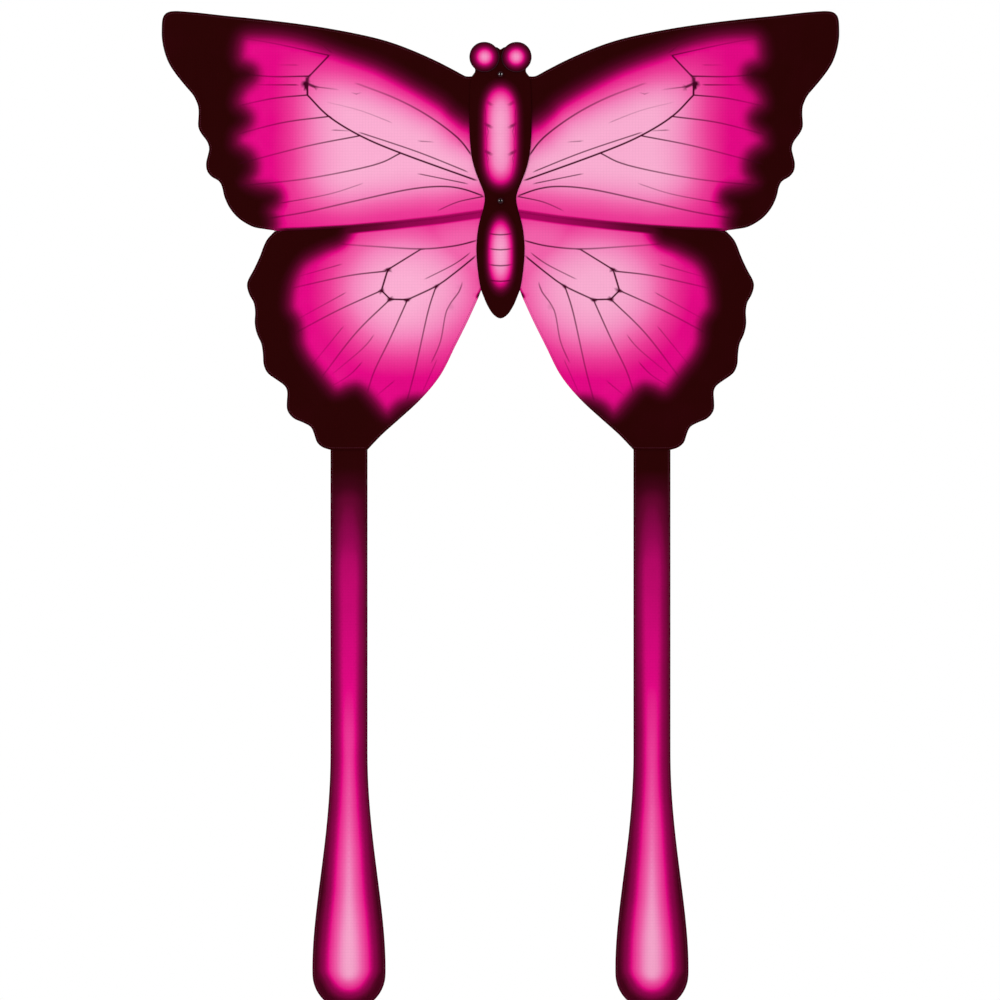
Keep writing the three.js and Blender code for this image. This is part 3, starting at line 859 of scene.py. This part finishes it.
# ---------- fittings ----------
def turned_piece(name, profile, start, way, material, around=32):
    """A turned piece from (radius, distance along its axis) points that close on themselves."""
    start, way = np.array(start, float), np.array(way, float)
    way /= np.linalg.norm(way)
    across = np.cross(way, [0, 1, 0] if abs(way[1]) < 0.9 else [1, 0, 0])
    across /= np.linalg.norm(across)
    turn = np.linspace(0, 2 * math.pi, around, endpoint=False)
    circle = np.cos(turn)[:, None] * across + np.sin(turn)[:, None] * np.cross(way, across)
    rings = [start + way * s + max(r, 0.02) * circle for r, s in profile]
    many = len(rings)
    faces = [(i * around + j, ((i + 1) % many) * around + j, ((i + 1) % many) * around + (j + 1) % around,
              i * around + (j + 1) % around) for i in range(many) for j in range(around)]
    layout = [(r + s, j * 0.7) for r, s in profile for j in range(around)]
    return make_object(name, np.vstack(rings), faces, [material], layout=layout)


def end_cap(name, rod_end, before, bore, outer, body, node):
    """A moulded cap with grip ribs, pushed 14 mm over a rod's end."""
    end, before = np.array([rod_end[0], ROD_Y, rod_end[1]]), np.array([before[0], ROD_Y, before[1]])
    way = (end - before) / np.linalg.norm(end - before)
    profile = [(bore, 0), (outer - 0.5, 0), (outer - 0.2, 0.25), (outer, 0.8)]
    for i in range(5):
        s = 2.4 + i * 2.2
        profile += [(outer, s), (outer - 0.35, s + 0.35), (outer - 0.35, s + 0.9), (outer, s + 1.25)]
    top = 16.4
    dome = [(outer * math.cos(a), top - outer * 0.6 + outer * 0.6 * math.sin(a))
            for a in np.linspace(0, math.pi / 2, 7)]
    profile += dome + [(0, 14.3), (bore, 14.3)]
    return finished(turned_piece(name, profile, end - way * 14, way, VINYL), body, "vinyl", node)


def joint_tube(name, start, end, node):
    """The flexible tube at the fold, with a softly rolled rim at its rod end."""
    start, end = np.array([start[0], ROD_Y, start[1]]), np.array([end[0], ROD_Y, end[1]])
    path = resampled(np.vstack([start, end]), 0.8)
    far = np.linalg.norm(path - path[-1], axis=1)
    radii = 3.3 + 0.2 * np.exp(-((far - 1.2) / 0.9) ** 2) - 0.35 * np.exp(-((far / 0.4) ** 2))
    made = loft(name, tube_rings(path, radii, 28), [VINYL])
    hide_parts(node)
    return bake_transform(made)


def pocket(name, line, reach, flange, body, node, base=None, crown=8.0, ruffle=0.3, slot="tape_cloth"):
    """A strip of tape that arches over a rod, with a sewn flange along each side, and its stitches."""
    line = resampled(line, 4)
    left = normals_2d(line)
    base = base if base is not None else (lambda p: np.full(len(p), 0.85))
    turn = np.linspace(math.pi, 0, 11)
    arch = [(reach * math.cos(a), math.sin(a)) for a in turn]
    section = [(-reach - flange, 0), (-reach - flange * 0.5, 0), (-reach - 0.6, 0.02)] + arch[1:-1]
    section += [(reach + 0.6, 0.02), (reach + flange * 0.5, 0), (reach + flange, 0)]
    section = np.array(section)
    thick = 0.35
    slope = np.column_stack([np.gradient(section[:, 0]), np.gradient(section[:, 1]) * 6])
    out = np.column_stack([-slope[:, 1], slope[:, 0]]) / np.hypot(*slope.T)[:, None]
    rings, along = [], np.arange(len(line)) * 4.0
    for i, (point, n) in enumerate(zip(line, left)):
        pucker = 1 + ruffle * 0.12 * math.sin(along[i] * 0.55)
        pucker += ruffle * 0.18 * noise.noise((along[i] / 18, 3, reach))
        inner, outer = [], []
        for (u, height), (ou, oy) in zip(section, out):
            place = point + n * u
            floor = float(base(place[None])[0]) + 0.05
            y = floor + (crown - floor) * height * (0.97 + 0.03 * pucker)
            if height < 0.1:
                y += ruffle * 0.3 * (0.5 + 0.5 * math.sin(along[i] * 1.35 + u))
            inner.append((place[0], y, place[1]))
            shifted = place + n * ou * thick
            outer.append((shifted[0], y + max(oy, 0.15) * thick, shifted[1]))
        rings.append(outer + inner[::-1])
    made = loft(name, rings, [TAPE])
    finished(made, body, slot, node)
    rows = []
    for edge in (-1, 1):
        row = line + left * edge * (reach + flange * 0.55)
        rows.append(np.column_stack([row[:, 0], base(row) + thick + 0.42, row[:, 1]]))
    stitches(f"{name}_stitches", rows, body)
    return made


def patch(name, node, body, front, thick=0.55, material=TAPE, lift=None):
    """A flat patch the shape of its CAD node, stitched round its edge. front is a depth or gives one."""
    outline = resample_loop(front_outline(node), 2.5)
    loop = np.vstack([outline, outline[:1]])
    flat, faces = triangulated(outline, inset_rows(loop, 3), 3)

    def depth_at(points):
        """The depth of the patch's front face."""
        depth = front(points) if callable(front) else np.full(len(points), float(front))
        return depth + (lift(points) if lift else 0)

    y = depth_at(flat) + 0.12 * soft_noise(flat, 9, 2)
    made = shell(name, flat, faces, y, y + thick, [material])
    finished(made, body, "tape_cloth", node)
    rows = [np.column_stack([run[:, 0], depth_at(run) + thick + 0.15, run[:, 1]])
            for run in inset_rows(loop, 2.2)]
    stitches(f"{name}_stitches", rows, body)


def fold_strip(side_name):
    """The strip of cloth that the wing folds on, sewn to the spine's tape and to the sails."""
    side = SIDES[side_name]
    top, bottom, inner, outer = -22, -414, 9.9, 19
    box = np.array([(inner, top), (inner, bottom), (outer, bottom), (outer, top), (inner, top)]) * (side, 1)
    if side < 0:
        box = box[::-1]
    outline = np.vstack([resampled(np.array([a, b]), 3)[:-1] for a, b in zip(box, box[1:])])
    folds = [resampled([(side * x, top - 1.3), (side * x, bottom + 1.3)], 3) for x in (11, 12, 13, 14)]
    flat, faces = triangulated(outline, folds, 3)
    y = 0.96 + 0.05 * soft_noise(flat, 12, 7)
    made = shell(f"{side_name}_fold_strip", flat, faces, y, y + 0.24, [PRINT_BACK],
                 {"tone": np.zeros(len(flat)), "vein": np.zeros(len(flat))})
    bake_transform(made)
    row = np.array([(side * 16.6, 1.3, top - 3), (side * 16.6, 1.3, bottom + 3)])
    stitches(f"{side_name}_fold_stitches", [row], f"{side_name}_wing")


def ringed(z, r, count=40):
    """A closed circle of (x, z) points round (0, z)."""
    turn = np.linspace(0, 2 * math.pi, count + 1)
    return np.column_stack([r * np.cos(turn), z + r * np.sin(turn)])


# ---------- the tails ----------
TAIL_X = 313
TAIL_TOP = -766
HINGES = (-777, -1066, -1355, -1644)
HINGE_REACH = (9, 60, 60, 60)  # how far above and below its hinge a length would bend; it is read but nothing bends the lengths
TAIL_CUTS = (TAIL_TOP, -921.5, -1210.5, -1499.5, -1755, -1934)
TAIL_BULB_Z, TAIL_BULB_R = -1858.5, 75.5
# Tone down the middle of a tail by height, and the most it can be by distance from the tail's edge.
TAIL_TONE_STEPS = [
    (-1934, 1.0), (-1748, 1.0), (-1666, 0.88), (-1583, 0.78), (-1500, 0.7), (-1418, 0.63),
    (-1335, 0.56), (-1252, 0.49), (-1170, 0.46), (-1087, 0.44), (-1004, 0.41), (-940, 0.34),
    (-880, 0.24), (-850, 0.1), (-815, 0.0), (-760, 0.0),
]
TAIL_EDGE_STEPS = [
    (0, 0.12), (4, 0.22), (8, 0.28), (12, 0.32), (19, 0.38), (25, 0.5), (31, 0.58), (39, 0.66),
    (47, 0.76), (54, 0.86), (60, 0.94), (72, 1.02),
]


def tail_half(z):
    """Half of a tail's width at a height: straight at first, then a long flare and a round end."""
    z = np.asarray(z, float)
    t = np.clip((-1400 - z) / (-1400 - TAIL_BULB_Z), 0, 1)
    flare = 38.2 + (TAIL_BULB_R - 38.2) * t * t * (2.1 - 1.1 * t * t)
    return np.where(z < TAIL_BULB_Z, np.sqrt(np.maximum(TAIL_BULB_R**2 - (z - TAIL_BULB_Z) ** 2, 0)), flare)


def tail_depth(flat, side):
    """How the hanging cloth waves in front of and behind the straight line."""
    x, z = flat.T
    free = smooth(-785, -1000, z)
    wave = 2.6 * np.sin((z + 900) / 74 + side) + 1.6 * np.sin((z + 300) / 31 + 2 * side + x * 0.02)
    curl = 2.2 * ((x - TAIL_X) / 38.2) ** 2 * np.sin((z + 1100) / 120 + side)
    return 0.9 * (1 - free) + 0.4 + free * (wave + np.clip(curl, -3, 3))


def tail_outline(top, bottom):
    """The right-hand tail's outline between two heights, anticlockwise."""
    z = np.linspace(top, max(bottom, TAIL_BULB_Z), 40)
    right = np.column_stack([tail_half(z), z])
    if bottom < TAIL_BULB_Z:
        turn = np.linspace(0, math.pi / 2, 24)[1:]
        round_end = np.column_stack([np.cos(turn), -np.sin(turn)]) * TAIL_BULB_R + (0, TAIL_BULB_Z)
        right = np.vstack([right, round_end])
    right = resampled(right, 5)
    left = right[::-1] * (-1, 1)
    if bottom < TAIL_BULB_Z:
        left = left[1:]
        low = np.empty((0, 2))
    else:
        low = resampled(np.vstack([right[-1], left[0]]), 5)[1:-1]
    high = resampled(np.vstack([left[-1], right[0]]), 5)[1:-1]
    return (np.vstack([right, low, left, high]) + (TAIL_X, 0))[::-1]


def tail_edge(flat):
    """How far each point of the right-hand tail is from its edge."""
    across = np.abs(flat[:, 0] - TAIL_X)
    round_end = TAIL_BULB_R - np.hypot(across, flat[:, 1] - TAIL_BULB_Z)
    return np.where(flat[:, 1] > TAIL_BULB_Z, tail_half(flat[:, 1]) - across, round_end)


def tail_tone(flat):
    """Dark at the top, magenta, then palest in the flared end, and always dark round the edge."""
    edge = tail_edge(flat) - 8 * smooth(-1520, -1720, flat[:, 1]) - 8 * smooth(-1848, -1880, flat[:, 1])
    centre = np.interp(flat[:, 1], *zip(*TAIL_TONE_STEPS))
    limit = np.interp(edge, *zip(*TAIL_EDGE_STEPS))
    tone = -np.log(np.exp(-30 * centre) + np.exp(-30 * limit)) / 30
    return np.clip(tone, 0, 1) * (1 - 0.5 * smooth(-1050, -880, flat[:, 1]) * smooth(33, 0, edge))


def tail_rows(loop, inset, top, bottom, goes_on):
    """The lines that run a set distance inside the tail's long edges, but not across its cut ends."""
    row = loop + normals_2d(loop) * inset
    ok = (near_line(row, loop)[0] > inset - 0.6) & (row[:, 1] < top - 1)
    ok &= np.abs(row[:, 1] - (top - inset)) > 0.05
    if goes_on:
        ok &= (row[:, 1] > bottom + 1) & (np.abs(row[:, 1] - (bottom + inset)) > 0.05)
    return [part[1:] for part in np.split(row, np.flatnonzero(~ok)) if len(part) > 3]


def tail(side_name):
    """A hanging tail: five lengths of one ribbon, the last riding on the tail's end."""
    side = SIDES[side_name]
    parts = ("wing", "tail_upper", "tail_middle", "tail_lower", "tail_end")
    bodies = [f"{side_name}_{part}" for part in parts]
    for i, (top, bottom) in enumerate(zip(TAIL_CUTS, TAIL_CUTS[1:])):
        goes_on = i < 4
        outline = tail_outline(top, bottom) * (side, 1)
        if side < 0:
            outline = outline[::-1]
        loop = np.vstack([outline, outline[:1]])
        rows = []
        for inset in (HEM_WIDTH, HEM_WIDTH + 1.2):
            rows += tail_rows(loop, inset, top, bottom, goes_on)
        for level, cut in ((top - 0.2, i > 0), (bottom + 0.2, goes_on)):
            if cut:
                reach = float(tail_half(level)) - 0.4
                ends = [(side * (TAIL_X - reach), level), (side * (TAIL_X + reach), level)]
                rows.append(resampled(ends, 5))
        flat, faces = triangulated(outline, rows, 7, clear=0.1)
        right = flat * (side, 1)
        half = hem_half(tail_edge(right))
        y = tail_depth(right, side)
        name = f"{side_name}_tail_cloth_{i + 1}"
        made = shell(name, flat, faces, y - half, y + half, [PRINT_FRONT, PRINT_BACK],
                     {"tone": tail_tone(right), "vein": np.zeros(len(flat))})
        hem = tail_rows(loop, HEM_WIDTH - 1.6, top, bottom, goes_on)
        rows = hem_threads(hem, lambda run: tail_depth(run * (side, 1), side))
        thread = stitches(f"{name}_stitches", rows)
        for piece in (made, thread):
            if goes_on:
                z, reach = HINGES[i], HINGE_REACH[i]
                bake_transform(piece)
            else:
                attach(piece, bodies[i])
        if i > 0:
            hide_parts(bodies[i])


# ---------- the body and the eyes ----------
def body_outline():
    """The body's outline, anticlockwise from the cleft between the eyes."""
    left = [(-x, z) for x, z in BODY_EDGE[-2:0:-1]]
    return curve(BODY_EDGE + left, 5, closed=True)[::-1]


def eye_centre(side):
    """The middle of an eye, as an (x, z) point."""
    return np.array([side * EYE_X, EYE_Z])


def inflated(flat, faces, pinned, crown, force):
    """How far forward a flat cover with a held rim swells when it is stuffed, up to the crown."""
    sheet_mesh = np.column_stack([flat[:, 0], np.zeros(len(flat)), flat[:, 1]])
    cover = make_object("stuffing", sheet_mesh, faces, [PRINT_FRONT])
    group = cover.vertex_groups.new(name="rim")
    group.add(np.flatnonzero(pinned).tolist(), 1.0, "REPLACE")
    cloth = cover.modifiers.new("cloth", "CLOTH")
    cloth.settings.vertex_group_mass = "rim"
    cloth.settings.quality = 6
    cloth.settings.mass = 0.15
    cloth.settings.tension_stiffness = cloth.settings.compression_stiffness = 12
    cloth.settings.shear_stiffness = 4
    cloth.settings.bending_stiffness = 0.05
    cloth.settings.air_damping = 6
    cloth.settings.shrink_min = -0.035
    cloth.settings.use_pressure = True
    cloth.settings.uniform_pressure_force = force
    cloth.settings.effector_weights.gravity = 0
    cloth.collision_settings.use_collision = False
    cloth.point_cache.frame_start, cloth.point_cache.frame_end = 1, STUFFING_FRAMES
    for number in range(1, STUFFING_FRAMES + 1):
        bpy.context.scene.frame_set(number)
    settled = cover.evaluated_get(bpy.context.evaluated_depsgraph_get())
    forward = np.array([-v.co.y for v in settled.data.vertices]) / MM
    bpy.context.scene.frame_set(1)
    bpy.data.objects.remove(cover)
    return np.maximum(forward, 0) * crown / max(forward.max(), 1e-6)


def body_cover():
    """The padded cover of the body, with the two round openings that the eyes fill."""
    outline = body_outline()
    loop = np.vstack([outline, outline[:1]])
    turn = np.linspace(0, 2 * math.pi, 81)
    round_eye = (EYE_R + 0.3) * np.column_stack([np.cos(turn), np.sin(turn)])
    circles = [eye_centre(side) + round_eye for side in (-1, 1)]

    def from_eyes(points):
        """Each point's distance to the middle of the nearer eye."""
        return np.minimum(*[np.hypot(*(points - eye_centre(side)).T) for side in (-1, 1)])

    def removed(points):
        """What is cut away: the eyes' openings and the eyelets' bores."""
        return (from_eyes(points) < EYE_R + 0.2) | (from_eyelets(points) < 4.25)

    eyelets = [ringed(z, 4.3) for z in EYELETS_Z]
    marks = vein_rows(BODY_MARKS, spacing=5)
    rows = inset_rows(loop, 2.5) + inset_rows(loop, 6)
    flat, faces = triangulated(outline, circles + eyelets + marks + rows, 4, removed)
    rim = np.unique(rim_edges(faces.tolist()))
    pinned = np.isin(np.arange(len(flat)), rim)
    rise = inflated(flat, faces, pinned, BODY_CROWN, 4.0)
    front = -1.2 - rise
    made = shell("body_cover", flat, faces, front, np.full(len(flat), -0.35), [PRINT_FRONT, PRINT_BACK],
                 {"tone": body_tone(flat), "vein": vein_strength(flat, BODY_MARKS)})
    finished(made, "spine", "body_cloth", "body_panel")
    return made


def eye(side_name):
    """A padded eye, corded round its edge."""
    side = SIDES[side_name]
    centre = eye_centre(side)
    turn = np.linspace(0, 2 * math.pi, 72, endpoint=False)
    outline = centre + EYE_R * np.column_stack([np.cos(turn), np.sin(turn)])
    flat, faces = triangulated(outline, [], 3)
    r = np.hypot(*(flat - centre).T)
    dome = (EYE_CROWN - 2) * np.sqrt(np.maximum(1 - (r / (EYE_R + 0.1)) ** 2, 0)) ** 0.9
    dome = 0.6 * dome + 0.4 * inflated(flat, faces, r > EYE_R - 0.3, EYE_CROWN - 2, 8.0)
    front = -1.6 - dome
    tone = ellipse_tone(flat, (side * 32.5, 35.5), (1, 1), EYE_STEPS)
    made = shell(f"{side_name}_eye_cover", flat, faces, front, np.full(len(flat), -0.35),
                 [PRINT_FRONT, PRINT_BACK], {"tone": tone, "vein": np.zeros(len(flat))})
    finished(made, "spine", "body_cloth", f"{side_name}_eye")
    turn = np.append(turn, 0)
    cord = centre + (EYE_R + 0.2) * np.column_stack([np.cos(turn), np.sin(turn)])
    path = np.column_stack([cord[:, 0], np.full(len(cord), -2.2), cord[:, 1]])
    piping = loft(f"{side_name}_eye_piping", tube_rings(path, 0.9, 10), [BINDING], closed=False)
    finished(piping, "spine", "tape_cloth")
    return made


def softened(node, name, material, slot, body):
    """A moulded piece: the CAD solid with its edges rounded."""
    made = NODES[node].copy()
    made.data = NODES[node].data.copy()
    made.name = name
    bpy.context.scene.collection.objects.link(made)
    made.parent = None
    made.data.materials.clear()
    made.data.materials.append(material)
    for key in list(made.keys()):
        del made[key]
    remesh = made.modifiers.new("even", "REMESH")
    remesh.mode, remesh.voxel_size = "VOXEL", 0.00045
    remesh.use_smooth_shade = True
    calm = made.modifiers.new("rounded", "SMOOTH")
    calm.factor, calm.iterations = 0.6, 7
    return finished(made, body, slot, node)


# ---------- the assembly ----------
def behind(depth_of):
    """The depth of a hemmed sail's back face, from the depth of its middle."""
    return lambda points: depth_of(points) + HEM_THICK / 2


def wing_rod(side_name, label, line):
    """A wing's rod with the cap on its end and the tube that joins it to the spine."""
    body = f"{side_name}_wing"
    name = f"{side_name}_{label}"
    rod(f"{name}_rod_bar", line, 2, body, f"{name}_rod")
    way = (line[-1] - line[-2]) / np.linalg.norm(line[-1] - line[-2])
    end_cap(f"{name}_cap", line[-1], line[-1] - way, 2.1, 3.35, body, f"{name}_tip_cap")
    start = line[0] - (line[1] - line[0]) * (abs(line[0, 0]) - 5.6) / abs(line[1, 0] - line[0, 0])
    way = (line[1] - line[0]) / np.linalg.norm(line[1] - line[0])
    joint_tube(f"{name}_boot", start, line[0] + way * 14, f"{name}_joint_tube")


def wing(side_name):
    """The two sails of a wing, its three rods and all that holds them to the cloth."""
    side = SIDES[side_name]
    body = f"{side_name}_wing"
    labels = ("leading", "spreader", "hind")
    lead, spread, hind = [centre_line(f"{side_name}_{label}_rod") for label in labels]
    held = [[(0, 60), (0, -520)]]
    held += [np.vstack([start, line * (side, 1)])
             for start, line in (((0, -58), lead), ((0, -278), spread), ((0, -290), hind))]
    fore = sail(side_name, "forewing_panel", FOREWING_VEINS, forewing_tone, held)
    rear = sail(side_name, "hindwing_panel", HINDWING_VEINS, hindwing_tone, held)
    for label, line in zip(labels, (lead, spread, hind)):
        wing_rod(side_name, label, line)

    def stretch_of(line, start, end):
        """Part of a straight rod, by shares of its length."""
        return line[0] + (line[-1] - line[0]) * np.array([start, end])[:, None]

    dense = curve(lead, 4)
    sleeved = dense[(np.abs(dense[:, 0]) > 44) & (np.abs(dense[:, 0]) < 640)]
    pocket(f"{side_name}_leading_pocket", sleeved, 3.3, 6.5, body,
           f"{side_name}_leading_sleeve", behind(fore))
    pocket(f"{side_name}_spreader_pocket", stretch_of(spread, 0.05, 0.95), 3.3, 6.5, body,
           f"{side_name}_spreader_sleeve", behind(rear))
    fold_strip(side_name)
    pocket(f"{side_name}_strut_keeper", stretch_of(hind, 0.5, 0.56), 3.3, 10, body,
           f"{side_name}_hind_rod_keeper", behind(rear))
    patch(f"{side_name}_tip_patch", f"{side_name}_wingtip_patch", body, behind(fore))
    tip = hind[-1]
    back = tip - (tip - hind[0]) / np.linalg.norm(tip - hind[0]) * 40
    patch(f"{side_name}_tip_pocket", f"{side_name}_hind_tip_pocket", body, behind(rear),
          lift=lambda points: 7.6 * smooth(8.5, 3.4, near_line(points, [back, tip])[0]))
    patch(f"{side_name}_seam_tape", f"{side_name}_tail_seam_tape", body,
          lambda points: tail_depth(points * (side, 1), side) + 0.5)


def spine_webbing():
    """The tape down the spine, with a hole for each eyelet."""
    outline = resample_loop(front_outline("spine_tape"), 3)
    loop = np.vstack([outline, outline[:1]])
    rows = inset_rows(loop, 3) + [ringed(z, 3.9) for z in EYELETS_Z]
    flat, faces = triangulated(outline, rows, 3.5, lambda points: from_eyelets(points) < 3.85)
    front, back = np.full(len(flat), 0.05), np.full(len(flat), 0.75)
    finished(shell("spine_webbing", flat, faces, front, back, [TAPE]), "spine", "tape_cloth", "spine_tape")


def eyelet(label, z):
    """A pressed eyelet with a rolled rim on each side of the cloth."""
    node = f"{label}_bridle_eyelet"
    low, high = corners(node)
    barrel, bore, rim = 3.9, 3.2, 6.2
    front, back = low[1], high[1]
    profile = [(bore, front + 0.8), (bore + 0.15, front + 0.35), (bore + 0.6, front + 0.05)]
    profile += [(rim - 1.2, front), (rim - 0.3, front + 0.2), (rim, front + 0.55), (rim - 0.2, front + 0.8)]
    profile += [(barrel, front + 0.85), (barrel, back - 0.85), (rim - 0.2, back - 0.8), (rim, back - 0.5)]
    profile += [(rim - 0.4, back - 0.15), (rim - 1.4, back), (bore + 0.6, back - 0.05), (bore, back - 0.8)]
    made = turned_piece(f"{label}_eyelet_pressing", profile, (0, 0, z), (0, 1, 0), ENAMEL, 40)
    finished(made, "spine", "eyelet_metal", node)


def spine():
    """The spine's rod, fittings, pockets, tape and eyelets."""
    low, high = corners("spine_rod")
    bottom, top = low[2], high[2]
    rod("spine_rod_bar", np.array([(0, top), (0, bottom)]), 2.5, "spine", "spine_rod")
    end_cap("spine_top_cap", (0, top), (0, top - 1), 2.6, 3.9, "spine", "spine_cap_top")
    end_cap("spine_bottom_cap", (0, bottom), (0, bottom + 1), 2.6, 3.9, "spine", "spine_cap_bottom")
    for name in ("nose_hub", "center_hub"):
        softened(name, f"{name}_moulding", NYLON, "nylon", "spine")
    for part in ("head", "upper", "lower"):
        node = f"spine_sleeve_{part}"
        low, high = corners(node)
        line = [(0, low[2]), (0, high[2])]
        pocket(f"spine_pocket_{part}", line, 3.5, 6, "spine", node, crown=8.6)
    patch("head_board", "head_backing", "spine", 0.02, 0.75)
    patch("closure_flap", "spine_closure_tab", "spine", 1.2, 0.8, TAB)
    spine_webbing()
    for label, z in zip(("upper", "lower"), EYELETS_Z):
        eyelet(label, z)


# ---------- floor, light and camera ----------
def pale_floor():
    """A plain floor under the tails."""
    reach, front, back, level = 14, -16, 1.2, -1.946
    mesh = bpy.data.meshes.new("floor")
    corners_in_turn = ((-reach, front), (reach, front), (reach, back), (-reach, back))
    mesh.from_pydata([(x, y, level) for x, y in corners_in_turn], [], [(0, 1, 2, 3)])
    floor = bpy.data.objects.new("floor", mesh)
    bpy.context.scene.collection.objects.link(floor)
    look = Nodes("pale_floor", 0.8)
    look.shader.inputs["Base Color"].default_value = (0.85, 0.85, 0.85, 1)
    mesh.materials.append(look.material)


def soft_light():
    """White surroundings, a broad light from the front left and a weaker one from behind."""
    scene = bpy.context.scene
    scene.view_settings.view_transform = "Standard"
    world = bpy.data.worlds.new("white_studio")
    scene.world = world
    world.use_nodes = True
    background = world.node_tree.nodes["Background"]
    background.inputs["Color"].default_value = (1, 1, 1, 1)
    background.inputs["Strength"].default_value = 1.0
    aim = Vector((0, 0, -0.6))
    for name, place, size, power in (("key_light", (-2.0, -5.0, 0.2), 3.0, 80),
                                     ("back_light", (2.0, 3.5, 1.0), 2.5, 40)):
        lamp = bpy.data.lights.new(name, "AREA")
        lamp.size, lamp.energy = size, power
        holder = bpy.data.objects.new(name, lamp)
        holder.location = place
        holder.rotation_euler = (aim - Vector(place)).to_track_quat("-Z", "Y").to_euler()
        scene.collection.objects.link(holder)


def far_camera():
    """A camera straight in front, so far away that the view is almost without perspective."""
    distance, field, sensor = 40, 2.0664, 36
    camera = bpy.data.objects.new("camera", bpy.data.cameras.new("camera"))
    camera.data.sensor_width = sensor
    camera.data.lens = sensor * distance / field
    camera.data.clip_end = 200
    camera.location = (-0.001, -distance, -0.880)
    camera.rotation_euler = (math.pi / 2, 0, 0)
    bpy.context.scene.collection.objects.link(camera)
    bpy.context.scene.camera = camera


body_cover()
for side_name in SIDES:
    wing(side_name)
    tail(side_name)
    eye(side_name)
spine()
pale_floor()
soft_light()
far_camera()
